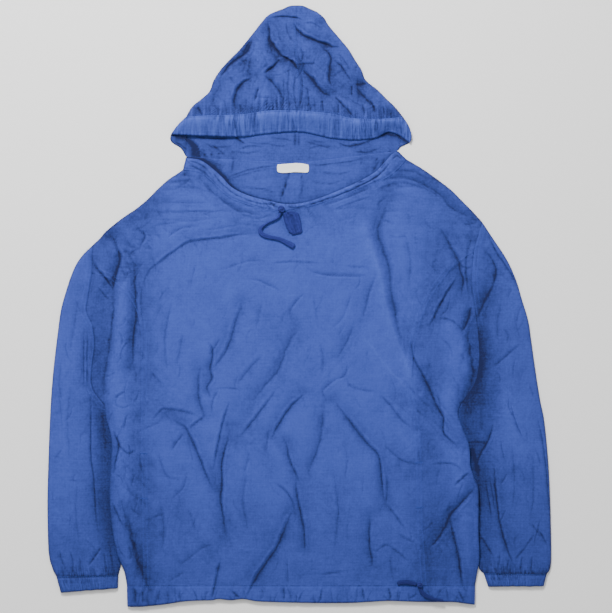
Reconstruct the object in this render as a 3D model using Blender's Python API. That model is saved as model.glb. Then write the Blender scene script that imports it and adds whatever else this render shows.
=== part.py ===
"""Anorak pullover in light cotton, laid flat with its front and its hood up.

Metres, +Z up. The garment rests on z = 0, +Y runs from the hem to the hood's peak, and the
origin is under the middle of the whole lay. Every cloth piece is a closed wall between an
outer and an inner face, lofted through rows of points that come from the lay plan below.
"""
from collections import namedtuple

import bpy
import numpy as np

# ---------------------------------------------------------------- driving sizes, metres
PLAN_STEP = 0.0016             # one step of the lay plan: columns run right, rows run down
PLAN_MIDDLE = (299.5, 306.25)  # the plan's column and row above the origin
CLOTH = 0.0012                 # wall of one layer of cloth
SEAM = 0.0003                  # gap at every seam and between layers that touch
PAIR = 2 * CLOTH + SEAM        # height of two layers that lie on each other
LOFT = 0.0064                  # usual height of the front and of a sleeve's upper layer
HEM_LOFT = 0.0052              # least height of the hem's upper layer
CUFF_LOFT = 0.0058             # height of a cuff's upper layer
HOOD_LOFT = 0.0125             # height of the hood's upper layer, at its middle
HOOD_SIDE_LOFT = 0.0095        # and beside its outline
HOOD_RISE = 0.0600             # width over which it rises from one to the other
HOOD_ROLL = 0.0120             # width over which the hood's upper layer rolls down
FOLD_TURN = 0.0030             # height of the middle of a folded edge
SLEEVE_ROLL = 0.0100           # width over which a sleeve rolls down at its outer fold
SLEEVE_TURN = 0.0028           # height of a sleeve just beside its inner fold
SLEEVE_RISE = 0.0220           # width over which it rises from there
ARMHOLE_REACH = 0.0200         # how far from the armhole a sleeve keeps the body's height
PANEL_POINT = 0.90             # share of its last row that a side panel's point reaches
EDGE_ROLL = 0.0080             # width over which a free edge rolls down to the layer below
SIDE_LIFT = 0.0055             # how far the body's side edge lies over the sleeve
SIDE_SLOPE = 0.0160            # width over which the back climbs to that edge
BAND = 0.0026                  # wall of a casing with an elastic or a cord in it
PUFF = 0.0007                  # how far a cuff or the hem bulges between its stitch lines
CASING_BULGE = (0, .0016, .0020, .0008, -.0006)    # neck casing's rows, seam to edge
CASING_ROLL = 0.0160           # width over which the neck casing's ends come down
BRIM_END_LOFT = 0.0055         # height of the hood casing's ends
BRIM_ROLL = 0.0200             # width over which it comes down to them
BRIM_LIP = 0.0006              # how far its free edge turns down
GATHER = 0.0009                # height of one gather on a cuff or on the hood's band
PLEAT = (0.0012, 0.0100, 0.2200)   # height, half width and length of the back's box pleat
PLEAT_START = 0.0180           # where the pleat starts to rise, below the neck seam
LABEL_SIZE = (0.0510, 0.0145, 0.0008)
LABEL_AT = (293, 168.2)        # on the lay plan
NECK_TIE = 0.0060              # width of the neck drawstring, rolled
HEM_TIE = 0.0050               # width of the hem drawstring, rolled
TIE_STEP = 1.6                 # widths of a tie between two points of its route
BOW_WALL = 0.0024              # the bow's two layers of tape

# ---------------------------------------------------------------- numbers of rows and columns
LOW_ROWS = 15                  # rows of the body from the hem to the underarm
HOOD_ROWS = 12
HEM_COLUMNS = 28               # between the close columns at the hem's two folds
NECK_COLUMNS = 8               # columns of the front on each side of the neck's middle
SHOULDER_STEPS = (0, .16, .32, .48, .64, .80, .91, 1)
ARMHOLE_STEPS = (0, .02, .05, .10, .17, .27, .38, .50, .62, .73, .83, .91, .965, 1)
PRINCESS_AT = 4                # the armhole step at which a side panel's seam starts
SIDE_STEPS = (0, .04, .13, .30, .52, .76, 1)
HOOD_STEPS = (0, .10, .21, .34, .47, .60, .74, .88, 1)
LENGTH_STEPS = (0, .03, .09, .17, .25, .33, .41, .49, .57, .65, .73, .81, .88, .94, .98, 1)
BRIM_GATHERS = 42
CUFF_GATHERS = 14

# ---------------------------------------------------------------- the lay plan, (column, row)
# Edges and seams run from the hem, cuff or brim up, and from left to right.
HEM_ROW = 585
SHOULDER_LEFT = [(94, 248), (109, 230), (122, 219), (136, 210), (148, 200), (157, 190),
                 (168, 180), (177, 174), (183, 170)]
SHOULDER_RIGHT = [(405, 160), (414, 165), (424, 170), (438, 180), (451, 190), (461, 200),
                  (471, 210), (482, 222)]
ARMHOLE_LEFT = [(94, 248), (92, 258), (92, 275), (88, 300), (87, 312), (93, 326), (95, 345),
                (92, 370), (93, 388), (104, 404)]
ARMHOLE_RIGHT = [(482, 222), (478, 235), (474, 250), (472, 270), (472, 290), (475, 310),
                 (478, 335), (479, 360), (475, 382), (462, 402)]
BODY_EDGE_LEFT = [(127, 585), (124, 570), (118, 555), (113, 530), (110, 500), (111, 470),
                  (112, 440), (107, 420), (104, 404)]
BODY_EDGE_RIGHT = [(475, 585), (479, 558), (478, 530), (478, 490), (474, 478), (470, 465),
                   (469, 446), (463, 430), (458, 414), (462, 402)]
PRINCESS_LEFT = [(143, 585), (142, 520), (141, 440), (141, 350), (138, 318), (127, 295),
                 (109, 279)]
PRINCESS_RIGHT = [(427, 585), (423, 520), (422, 460), (419, 420), (413, 385), (416, 340),
                  (430, 300), (454, 266)]
NECKLINE = [(186, 158), (200, 160), (212, 168), (222, 177), (233, 188), (250, 196), (270, 201),
            (285, 204), (302, 203), (320, 198), (340, 190), (360, 181), (375, 172), (384, 163),
            (391, 155), (397, 151)]
CASING_SEAM_LEFT = [(183, 170), (198, 172), (210, 180), (220, 190), (232, 199), (248, 205),
                    (265, 210), (283, 213)]
CASING_SEAM_RIGHT = [(283, 213), (297, 210), (312, 206), (330, 200), (347, 193), (365, 187),
                     (383, 180), (396, 171), (405, 160)]
BACK_NECK = ((186, 157), (297, 163), (398, 151))
SLEEVE_OUT_LEFT = [(60, 576), (54, 568), (49, 550), (48, 500), (49, 460), (50, 430), (52, 400),
                   (53, 380), (55, 360), (58, 335), (62, 310), (67, 290), (75, 270), (84, 256),
                   (94, 248)]
SLEEVE_OUT_RIGHT = [(546, 574), (550, 562), (551, 540), (550, 500), (548, 460), (544, 420),
                    (540, 400), (536, 375), (531, 340), (528, 320), (522, 300), (516, 280),
                    (507, 260), (494, 240), (482, 222)]
SLEEVE_IN_LEFT = [(120, 574), (121.5, 562), (119, 545), (116, 525), (113.5, 500), (114.5, 470),
                  (114, 446), (106.2, 423), (103, 404.6)]
SLEEVE_IN_RIGHT = [(486, 573), (481, 562), (476.5, 545), (474.5, 530), (474.5, 495), (470, 478),
                   (466.5, 462), (465, 446), (463, 430), (459, 416), (462.8, 402.8)]
CUFF_LEFT = ((60, 576), (120, 574), (64, 594), (118, 591))
CUFF_RIGHT = ((486, 573), (546, 574), (487, 588), (543, 586))
HEM_EDGE = [(128, 607), (150, 606.5), (180, 604), (205, 601), (230, 600.5), (260, 603),
            (300, 604), (420, 603.5), (474, 605)]
HOOD_OUT_LEFT = [(190, 117), (201, 101), (211, 90), (215, 80), (222, 70), (230, 60), (240, 50),
                 (252, 37), (262, 22), (268, 15.5), (276, 11.5)]
HOOD_OUT_RIGHT = [(401, 117), (387, 101), (377, 90), (365, 80), (360, 70), (354, 60),
                  (349, 50), (340, 39), (329, 26), (324, 18), (317, 12)]
BRIM_TURN_LEFT = [(190, 117), (181, 126), (171, 137), (176, 147), (186, 157)]
BRIM_TURN_RIGHT = [(401, 117), (408, 127), (412, 139), (403, 145), (398, 151)]
PEAK_LEFT = [(276, 11.5), (283, 9), (290, 6), (297, 5.5)]
PEAK_RIGHT = [(317, 12), (310, 9), (303, 6), (297, 5.5)]
CROWN_SEAM = [(298, 111), (301, 90), (300, 72), (298, 50), (297, 30), (297, 5.5)]
BRIM_SEAM_LEFT = [(190, 117), (210, 116), (240, 115), (270, 111), (298, 111)]
BRIM_SEAM_RIGHT = [(298, 111), (330, 114), (355, 119), (385, 119), (401, 117)]
BRIM_EDGE = [(173, 135), (200, 136), (240, 137), (265, 134), (300, 132), (330, 138),
             (355, 140), (375, 138), (388, 132), (400, 136), (408, 143)]
BRIM_END_LEFT = [(173, 135), (181, 126), (190, 117)]
BRIM_END_RIGHT = [(408, 143), (411, 136), (408, 127), (401, 117)]

# ---------------------------------------------------------------- the largest folds
# path: on the lay plan; width: plan steps across the fold; rise: height, a trough is negative
Fold = namedtuple("Fold", "path width rise")
BODY_FOLDS = [
    Fold([(388, 200), (379, 230), (389, 270), (395, 310), (403, 350)], 17, -0.0034),
    Fold([(366, 232), (380, 275), (390, 320), (404, 360), (416, 396)], 15, 0.0030),
    Fold([(424, 372), (436, 405), (443, 425), (456, 446)], 14, -0.0028),
    Fold([(135, 268), (136, 310), (133, 345), (131, 368)], 13, -0.0034),
    Fold([(122, 292), (122, 330), (119, 370), (120, 410), (124, 450), (123, 500), (127, 545),
          (139, 584)], 20, 0.0036),
    Fold([(257, 232), (215, 238), (180, 248), (148, 274)], 14, -0.0016),
    Fold([(243, 303), (232, 332), (213, 368), (208, 392)], 15, -0.0026),
    Fold([(199, 372), (200, 400), (207, 418)], 15, -0.0020),
    Fold([(168, 418), (188, 432), (202, 460), (214, 488)], 15, -0.0026),
    Fold([(231, 428), (222, 462), (221, 500), (226, 538)], 16, -0.0028),
    Fold([(297, 330), (281, 362), (262, 392), (240, 437)], 20, -0.0022),
    Fold([(304, 395), (287, 411), (272, 437)], 15, -0.0026),
    Fold([(335, 402), (357, 430), (380, 460), (386, 507)], 16, -0.0028),
    Fold([(286, 443), (295, 475), (303, 515), (305, 550)], 15, -0.0028),
    Fold([(292, 512), (279, 545), (258, 578)], 18, -0.0028),
    Fold([(325, 405), (320, 440), (308, 475)], 20, -0.0018),
    Fold([(370, 518), (369, 545), (373, 568)], 15, -0.0024),
    Fold([(372, 290), (360, 325), (338, 358)], 18, -0.0016),
    Fold([(445, 240), (458, 262), (461, 296)], 18, -0.0022),
    Fold([(452, 330), (459, 370), (450, 400), (449, 430), (457, 462), (463, 500), (465, 550),
          (462, 584)], 20, 0.0032),
    Fold([(474, 486), (460, 505), (443, 530), (430, 550)], 18, -0.0030),
    Fold([(450, 516), (456, 548), (464, 584)], 14, -0.0022),
    Fold([(127, 512), (133, 548), (150, 584)], 15, -0.0026),
    Fold([(392, 181), (425, 186), (452, 208), (476, 222)], 14, -0.0016),
    Fold([(112, 236), (125, 250), (118, 268), (113, 290)], 14, -0.0030),
    Fold([(101, 302), (101, 335), (98, 372), (101, 410), (104, 445), (104, 500), (108, 540),
          (116, 566)], 18, -0.0032),
    Fold([(490, 262), (494, 275), (486, 302), (476, 330), (480, 372), (468, 402), (474, 440),
          (483, 480), (487, 520), (486, 560)], 20, -0.0034),
    Fold([(496, 395), (494, 415), (488, 445)], 15, -0.0018),
    Fold([(501, 500), (505, 535), (515, 568)], 15, -0.0022),
    Fold([(505, 400), (513, 425), (520, 460)], 22, 0.0018),
    Fold([(84, 345), (86, 400), (92, 470), (95, 530)], 14, -0.0012),
    Fold([(68, 330), (64, 420), (66, 520)], 34, 0.0014),
]
HOOD_FOLDS = [
    Fold([(268, 26), (271, 42), (284, 58), (301, 72)], 14, -0.0034),
    Fold([(297, 29), (308, 38), (335, 47)], 12, -0.0028),
    Fold([(250, 78), (240, 92), (236, 108)], 14, -0.0030),
    Fold([(302, 73), (314, 85), (328, 97)], 13, -0.0028),
    Fold([(323, 50), (330, 68), (331, 95)], 12, -0.0022),
    Fold([(362, 82), (362, 96)], 14, -0.0034),
    Fold([(283, 60), (268, 75), (283, 103)], 12, -0.0022),
    Fold([(250, 42), (242, 58), (224, 72), (213, 98)], 14, -0.0026),
    Fold([(258, 45), (262, 70), (262, 100)], 14, 0.0024),
]

# ---------------------------------------------------------------- ties, (column, row, height)
NECK_KNOT = (281.5, 209.5, .0115)
NECK_KNOT_SIZE = (.0110, .0110, .0060)
NECK_LOOP = [(280.2, 212.9, .0113), (278.6, 217, .0102), (274, 220, .0099), (267, 223.5, .0097),
             (261.5, 227.5, .0094), (260.5, 232, .0093), (264, 235.5, .0095), (271, 237.5, .0097),
             (279, 239.2, .0097), (287, 242.8, .0097), (294.5, 247, .0097)]
BOW_LEFT = [(283.4, 213.1, .0120), (285.2, 219, .0100), (286, 226, .0091), (287.5, 231.5, .0091),
            (291, 235, .0091)]
BOW_RIGHT = [(288, 211.3, .0120), (297.5, 217, .0100), (300, 226, .0091), (300.4, 231, .0091),
             (298.5, 235.5, .0091)]
HEM_KNOT = (419.5, 584.5, .0095)
HEM_KNOT_SIZE = (.0090, .0090, .0055)
HEM_END_LEFT = [(416.5, 583.9, .0093), (411.5, 582.6, .0092), (406.5, 581.6, .0092),
                (401.5, 581.8, .0092), (397, 583.5, .0092)]
HEM_END_RIGHT = [(420.2, 587.5, .0098), (421.6, 591.5, .0097), (425.5, 595.2, .0097),
                 (431, 597.6, .0097), (437, 599.2, .0097), (443, 600, .0097)]

# ---------------------------------------------------------------- colours, linear
BLUE = (0.056, 0.128, 0.385)
DEEP_BLUE = (0.042, 0.098, 0.315)
NAVY = (0.030, 0.055, 0.180)
WHITE = (0.80, 0.83, 0.86)


# ---------------------------------------------------------------- curves on the plan
def plan(points):
    """Plan points as metres: columns to the right of the middle, rows above it."""
    table = np.asarray(points, float)
    return (table[..., :2] - PLAN_MIDDLE) * (PLAN_STEP, -PLAN_STEP)


def smooth(points, pieces=10):
    """Catmull-Rom curve through plan points, as a close polyline in metres."""
    p = plan(points)
    p = np.vstack([2 * p[0] - p[1], p, 2 * p[-1] - p[-2]])
    t = np.linspace(0, 1, pieces, endpoint=False)[:, None]
    a, b, c, d = p[:-3, None], p[1:-2, None], p[2:-1, None], p[3:, None]
    bend = 2 * b + (c - a) * t + (2 * a - 5 * b + 4 * c - d) * t ** 2 + (3 * b - a - 3 * c + d) * t ** 3
    return np.vstack([bend.reshape(-1, 2) / 2, p[-2]])


def lengths(line):
    """Length run along a polyline at each of its points."""
    return np.concatenate([[0], np.cumsum(np.linalg.norm(np.diff(line, axis=0), axis=1))])


def along(line, steps):
    """Points of a polyline at the given fractions of its length."""
    run = lengths(line)
    at = np.asarray(steps, float) * run[-1]
    return np.stack([np.interp(at, run, line[:, 0]), np.interp(at, run, line[:, 1])], axis=1)


def even(count):
    """Evenly spaced fractions from 0 to 1."""
    return np.linspace(0, 1, count + 1)


def split(points, parts):
    """Cut each stretch between two points into equal parts, on its own chord."""
    at = np.linspace(0, len(points) - 1, (len(points) - 1) * parts + 1)
    index = np.arange(len(points))
    return np.stack([np.interp(at, index, points[:, k]) for k in range(points.shape[1])], axis=1)


def join(*lines):
    """One line from lines that share their end points."""
    return np.vstack([lines[0]] + [line[1:] for line in lines[1:]])


# ---------------------------------------------------------------- heights
def distance(xy, line):
    """Shortest distance from each point to a polyline."""
    start, step = line[:-1], np.diff(line, axis=0)
    from_start = xy[..., None, :] - start
    size = np.maximum((step ** 2).sum(1), 1e-18)
    t = np.clip((from_start * step).sum(-1) / size, 0, 1)
    return np.sqrt(((from_start - t[..., None] * step) ** 2).sum(-1).min(-1))


def ease(t):
    """Smooth step from 0 to 1."""
    t = np.clip(t, 0, 1)
    return t * t * (3 - 2 * t)


def roll(away, width=EDGE_ROLL):
    """Quarter circle: 0 on the edge and 1 from the given width inwards."""
    return np.sqrt(1 - (1 - np.clip(away / width, 0, 1)) ** 2)


def folded(xy, folds):
    """Sum of the folds, each a bell across its path."""
    total = np.zeros(xy.shape[:-1])
    for fold in folds:
        away = distance(xy, smooth(fold.path, 4))
        total += fold.rise * np.exp(-(away / (fold.width * PLAN_STEP / 2)) ** 2)
    return total


def lay_height(xy):
    """Upper layer of body and sleeves, before its edges roll down."""
    return np.maximum(LOFT + folded(xy, BODY_FOLDS), PAIR + SEAM)


def side_lift(xy, underarm_row):
    """How high the body's side edge lies: over the sleeve, but flat at underarm and hem."""
    row = PLAN_MIDDLE[1] - xy[..., 1] / PLAN_STEP
    return SIDE_LIFT * ease((row - underarm_row) / 34) * (1 - ease((row - 548) / 30))


# ---------------------------------------------------------------- surfaces
def patch(left, right, bottom, top):
    """Coons patch: rows of plan points between four edges that share their corners."""
    def share(a, b):
        return (lengths(a) / lengths(a)[-1] + lengths(b) / lengths(b)[-1]) / 2
    v = share(left, right)[:, None, None]
    u = share(bottom, top)[None, :, None]
    across = (1 - v) * bottom[None] + v * top[None]
    upward = (1 - u) * left[:, None] + u * right[:, None]
    corners = ((1 - u) * (1 - v) * bottom[0] + u * (1 - v) * bottom[-1]
               + (1 - u) * v * top[0] + u * v * top[-1])
    return across + upward - corners


def draw_in(grid, left=0.0, right=0.0, bottom=0.0, top=0.0):
    """Draw the edges of a patch in by half a seam's gap each, square to the edge."""
    out = grid.copy()
    def shift(edge, next_row, amount):
        run = np.gradient(edge, axis=0)
        run /= np.linalg.norm(run, axis=1)[:, None]
        side = np.stack([-run[:, 1], run[:, 0]], axis=1)
        inward = np.sign(((next_row - edge) * side).sum(1).mean())
        return side * inward * amount / 2
    out[:, 0] += shift(grid[:, 0], grid[:, 1], left)
    out[:, -1] += shift(grid[:, -1], grid[:, -2], right)
    out[0] += shift(grid[0], grid[1], bottom)
    out[-1] += shift(grid[-1], grid[-2], top)
    return out


def raised(xy, height):
    """Plan points with a height each."""
    return np.dstack([xy, np.broadcast_to(height, xy.shape[:-1])])


def sunk(face, depth=CLOTH):
    """The same face, straight below."""
    return face - (0, 0, depth)


def unit(v):
    """Vectors of length 1."""
    return v / np.maximum(np.linalg.norm(v, axis=-1, keepdims=True), 1e-12)


def lined(face, run, ring, folds):
    """Inner face of a turned wall, one cloth inside.

    It leans along a seam but never over it, and at the columns that are folds it lies level.
    """
    if ring:
        wide = np.concatenate([face[:, -1:], face, face[:, :1]], axis=1)
        across = np.gradient(wide, axis=1)[:, 1:-1]
    else:
        across = np.gradient(face, axis=1)
    upward = np.gradient(face, axis=0)
    normal = unit(np.cross(across, upward))
    over = unit(np.dstack([-run[..., 1], run[..., 0], np.zeros(run.shape[:-1])]))
    for row in (0, -1):
        normal[row] -= (normal[row] * over[row]).sum(-1)[:, None] * over[row]
    if not ring:
        for column in (0, -1):
            normal[:, column, :2] = 0
    for column, inner_column in folds:
        level = upward[:, column]
        side = np.stack([-level[:, 1], level[:, 0], 0 * level[:, 0]], axis=1)
        outward = face[:, column] - face[:, inner_column]
        normal[:, column] = side * np.sign((side * outward).sum(1))[:, None]
    return face - unit(normal) * CLOTH


def run_of(xy):
    """Direction of the rows of a patch."""
    return unit(np.gradient(xy, axis=1))


# ---------------------------------------------------------------- objects
def material(name, colour, roughness):
    """Principled material of one piece."""
    result = bpy.data.materials.new(name)
    result.use_nodes = True
    shader = result.node_tree.nodes["Principled BSDF"]
    shader.inputs["Base Color"].default_value = (*colour, 1)
    shader.inputs["Roughness"].default_value = roughness
    shader.inputs["Metallic"].default_value = 0
    result.diffuse_color = (*colour, 1)
    return result


def place(name, data, colour, roughness=0.85):
    """Object of one piece, in the garment's collection."""
    result = bpy.data.objects.new(name, data)
    data.materials.append(material(name + "_finish", colour, roughness))
    bpy.data.collections["anorak_pullover"].objects.link(result)
    return result


def wall(name, outer, inner, colour=BLUE, ring=False):
    """Closed wall between two faces; a ring's last column meets its first."""
    rows, columns = outer.shape[:2]
    index = np.arange(rows * columns).reshape(rows, columns)
    if ring:
        index = np.concatenate([index, index[:, :1]], axis=1)
    far = index + rows * columns

    def quads(a, b, c, d):
        return np.stack([a, b, c, d], axis=-1).reshape(-1, 4)
    faces = [quads(index[:-1, :-1], index[:-1, 1:], index[1:, 1:], index[1:, :-1]),
             quads(far[:-1, :-1], far[1:, :-1], far[1:, 1:], far[:-1, 1:]),
             quads(index[0, :-1], far[0, :-1], far[0, 1:], index[0, 1:]),
             quads(index[-1, :-1], index[-1, 1:], far[-1, 1:], far[-1, :-1])]
    if not ring:
        faces += [quads(index[:-1, 0], index[1:, 0], far[1:, 0], far[:-1, 0]),
                  quads(index[:-1, -1], far[:-1, -1], far[1:, -1], index[1:, -1])]
    mesh = bpy.data.meshes.new(name)
    points = np.vstack([outer.reshape(-1, 3), inner.reshape(-1, 3)])
    mesh.from_pydata(points.tolist(), [], np.vstack(faces).tolist())
    mesh.shade_smooth()
    return place(name, mesh, colour)


def tie(name, route, width):
    """One free stretch of a drawstring: a round tube on a smooth curve through its route."""
    route = np.asarray(route, float)
    flat = smooth(route)
    share = lengths(flat) / lengths(flat)[-1]
    at_route = np.interp(np.linspace(0, 1, len(route)), np.linspace(0, 1, len(flat)), share)
    steps = even(int(np.ceil(lengths(flat)[-1] / (TIE_STEP * width))))
    curve = bpy.data.curves.new(name, "CURVE")
    curve.dimensions = "3D"
    curve.bevel_depth = width / 2
    curve.bevel_resolution = 2
    curve.use_fill_caps = True
    curve.resolution_u = 1
    spline = curve.splines.new("POLY")
    spline.points.add(len(steps) - 1)
    height = np.interp(steps, at_route, route[:, 2])
    for point, (x, y), z in zip(spline.points, along(flat, steps), height):
        point.co = (x, y, z, 1)
    return place(name, curve, NAVY)


def knot(name, spot, size):
    """A drawstring's knot, as a flattened ball."""
    bpy.ops.mesh.primitive_uv_sphere_add(segments=12, ring_count=8, radius=0.5)
    made = bpy.context.object
    mesh = made.data
    bpy.data.objects.remove(made)
    x, y = plan(spot)
    for vertex in mesh.vertices:
        vertex.co.x = x + vertex.co.x * size[0]
        vertex.co.y = y + vertex.co.y * size[1]
        vertex.co.z = spot[2] + vertex.co.z * size[2]
    mesh.shade_smooth()
    return place(name, mesh, NAVY)


def neck_tie_bow():
    """Bow's loop of the neck drawstring: the tape folded back on itself, lying on the front."""
    left, right = np.array(BOW_LEFT), np.array(BOW_RIGHT)
    steps = even(4)[None, :, None]
    across = left[::-1, None] * (1 - steps) + right[::-1, None] * steps
    face = raised(plan(across), across[..., 2])
    wall("neck_tie_bow", face, sunk(face, BOW_WALL), NAVY)


# ---------------------------------------------------------------- shared seams of the body
def seams(side):
    """Sampled seams of one side, each from the hem or underarm up."""
    left = side == "left"
    armhole = smooth(ARMHOLE_LEFT if left else ARMHOLE_RIGHT)
    edge = smooth(BODY_EDGE_LEFT if left else BODY_EDGE_RIGHT)
    armhole = along(armhole, ARMHOLE_STEPS)
    princess = smooth(PRINCESS_LEFT if left else PRINCESS_RIGHT)
    princess = np.vstack([princess, armhole[PRINCESS_AT]])
    rows = LOW_ROWS + len(ARMHOLE_STEPS) - 1 - PRINCESS_AT
    return {
        "armhole": armhole,
        "edge": along(edge, even(LOW_ROWS)),
        "princess": along(princess, even(rows)),
    }


def straight(a, b, steps):
    """Points on a straight seam between two plan points."""
    ends = plan([a, b])
    return ends[0] + np.asarray(steps)[:, None] * (ends[1] - ends[0])


LEFT, RIGHT = seams("left"), seams("right")
UNDERARM_ROW = {"left": 404, "right": 402}
OUTLINE = {"left": smooth(SHOULDER_LEFT), "right": smooth(SHOULDER_RIGHT)}


def front_height(xy):
    """Front of the body: the lay, rolled down at the two shoulder lines."""
    away = np.minimum(distance(xy, OUTLINE["left"]), distance(xy, OUTLINE["right"]))
    return PAIR + (lay_height(xy) - PAIR) * roll(away)


# ---------------------------------------------------------------- pieces of the body
def front_body():
    """Front panel, between the side panels, the armholes, the shoulders and the neck casing."""
    left, right = [join(parts["princess"], parts["armhole"][PRINCESS_AT::-1])
                   for parts in (LEFT, RIGHT)]
    neck = join(along(smooth(CASING_SEAM_LEFT), even(NECK_COLUMNS)),
                along(smooth(CASING_SEAM_RIGHT), even(NECK_COLUMNS)))
    top = join(along(smooth(SHOULDER_LEFT), SHOULDER_STEPS), neck,
               along(smooth(SHOULDER_RIGHT), 1 - np.array(SHOULDER_STEPS[::-1])))
    bottom = straight((143, HEM_ROW), (427, HEM_ROW), lengths(top) / lengths(top)[-1])
    xy = patch(left, right, bottom, top)
    xy = draw_in(xy, SEAM, SEAM, SEAM, SEAM)
    face = raised(xy, front_height(xy))
    wall("front_body", face, sunk(face))


def side_panel(side):
    """Side panel, from the princess seam to the body's side edge, where it meets the back."""
    parts = LEFT if side == "left" else RIGHT
    outer = join(parts["edge"], parts["armhole"][PRINCESS_AT:][::-1])
    inner = parts["princess"].copy()
    for line in (outer, inner):
        line[-1] = line[-2] + PANEL_POINT * (line[-1] - line[-2])
    steps = np.array(SIDE_STEPS)
    if side == "left":
        left, right = outer, inner
    else:
        left, right = inner, outer
        steps = 1 - steps[::-1]
    bottom = left[0] + steps[:, None] * (right[0] - left[0])
    top = left[-1] + even(len(steps) - 1)[:, None] * (right[-1] - left[-1])
    xy = patch(left, right, bottom, top)
    xy = draw_in(xy, SEAM, SEAM, SEAM, SEAM)
    low = PAIR + side_lift(xy, UNDERARM_ROW[side])
    height = low + (np.maximum(lay_height(xy), low) - low) * roll(distance(xy, parts["edge"]))
    face = raised(xy, height)
    wall("side_panel_" + side, face, sunk(face))


def back_body():
    """Back panel, flat on its underside, climbing at the sides over the sleeves' inner folds."""
    left, right = [join(parts["edge"], parts["armhole"][::-1]) for parts in (LEFT, RIGHT)]
    steps = np.array([0, .34, .68, 1])
    beside_pleat = np.array([0, .4, .8, .93, 1])
    top = join(along(smooth(SHOULDER_LEFT + [BACK_NECK[0]]), steps),
               straight(BACK_NECK[0], BACK_NECK[1], beside_pleat),
               straight(BACK_NECK[1], BACK_NECK[2], 1 - beside_pleat[::-1]),
               along(smooth([BACK_NECK[2]] + SHOULDER_RIGHT), 1 - steps[::-1]))
    bottom = straight((127, HEM_ROW), (475, HEM_ROW), lengths(top) / lengths(top)[-1])
    xy = patch(left, right, bottom, top)
    xy = draw_in(xy, SEAM, SEAM, SEAM, SEAM)
    away_left = distance(xy, LEFT["edge"])
    away_right = distance(xy, RIGHT["edge"])
    climb = (side_lift(xy, UNDERARM_ROW["left"]) * (1 - ease(away_left / SIDE_SLOPE))
             + side_lift(xy, UNDERARM_ROW["right"]) * (1 - ease(away_right / SIDE_SLOPE)))
    rise, half_width, length = PLEAT
    neck_middle = plan(BACK_NECK[1])
    from_pleat = neck_middle - xy
    pleat = rise * (1 - ease(np.abs(from_pleat[..., 0]) / half_width - 0.4))
    pleat *= ease(from_pleat[..., 1] / PLEAT_START - 1) * (1 - ease(from_pleat[..., 1] / length))
    floor = raised(xy, climb)
    wall("back_body", raised(xy, CLOTH + climb + pleat), floor)


def hem_casing():
    """Turned hem with the drawstring in it: a flat ring right round the body."""
    steps = np.concatenate([[0, .008, .03], np.linspace(.07, .93, HEM_COLUMNS + 1), [.97, .992, 1]])
    top = straight((127, HEM_ROW), (475, HEM_ROW), steps)
    bottom = along(smooth(HEM_EDGE), steps)
    rows = np.array([0, .3, .7, 1])[:, None, None]
    xy = bottom[None] + rows * (top - bottom)[None]
    xy = draw_in(xy, top=SEAM)
    away = np.minimum(distance(xy, xy[:, 0]), distance(xy, xy[:, -1]))
    puff = PUFF * np.sin(np.pi * rows[..., 0])
    high = FOLD_TURN + (np.maximum(lay_height(xy), HEM_LOFT) + puff - FOLD_TURN) * roll(away)
    low = FOLD_TURN * (1 - roll(away, FOLD_TURN))
    ring_wall("hem_casing", xy, high, low)


def ring_wall(name, xy, high, low, colour=BLUE):
    """Flattened tube: an upper layer, back along a lower layer, folded at both sides."""
    upper = raised(xy, high)
    under = raised(xy, low)[:, -2:0:-1]
    outer = np.concatenate([upper, under], axis=1)
    run = run_of(xy)
    around = np.concatenate([run, run[:, -2:0:-1]], axis=1)
    last = xy.shape[1] - 1
    return wall(name, outer, lined(outer, around, True, [(0, 1), (last, last - 1)]), colour, ring=True)


# ---------------------------------------------------------------- sleeves
def sleeve(side):
    """One sleeve: rings from the cuff seam up to the armhole, fanned round the underarm."""
    parts = LEFT if side == "left" else RIGHT
    rows = np.array(LENGTH_STEPS)
    outline = along(smooth(SLEEVE_OUT_LEFT if side == "left" else SLEEVE_OUT_RIGHT), rows)
    inside = along(smooth(SLEEVE_IN_LEFT if side == "left" else SLEEVE_IN_RIGHT), rows ** 0.8)
    cuff = CUFF_LEFT if side == "left" else CUFF_RIGHT
    if side == "left":
        top = parts["armhole"].copy()
        steps = np.array(ARMHOLE_STEPS)
        left, right = outline, inside
    else:
        top = parts["armhole"][::-1].copy()
        steps = 1 - np.array(ARMHOLE_STEPS)[::-1]
        left, right = inside, outline
    left[-1], right[-1] = top[0], top[-1]
    bottom = straight(cuff[0], cuff[1], steps)
    xy = patch(left, right, bottom, top)
    xy = draw_in(xy, bottom=SEAM, top=SEAM)
    from_out = distance(xy, outline)
    from_in = distance(xy, inside)
    high = lay_height(xy)
    calm = SLEEVE_TURN + (high - SLEEVE_TURN) * ease(from_in / SLEEVE_RISE)
    near_armhole = ease(1 - distance(xy, parts["armhole"]) / ARMHOLE_REACH)
    high = calm + (high - calm) * near_armhole
    turn = FOLD_TURN / 2
    high = turn + (high - turn) * roll(from_out, SLEEVE_ROLL) * roll(from_in, FOLD_TURN)
    low = turn * (1 - np.minimum(roll(from_out, FOLD_TURN), roll(from_in, FOLD_TURN)))
    ring_wall("sleeve_" + side, xy, high, low)


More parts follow.
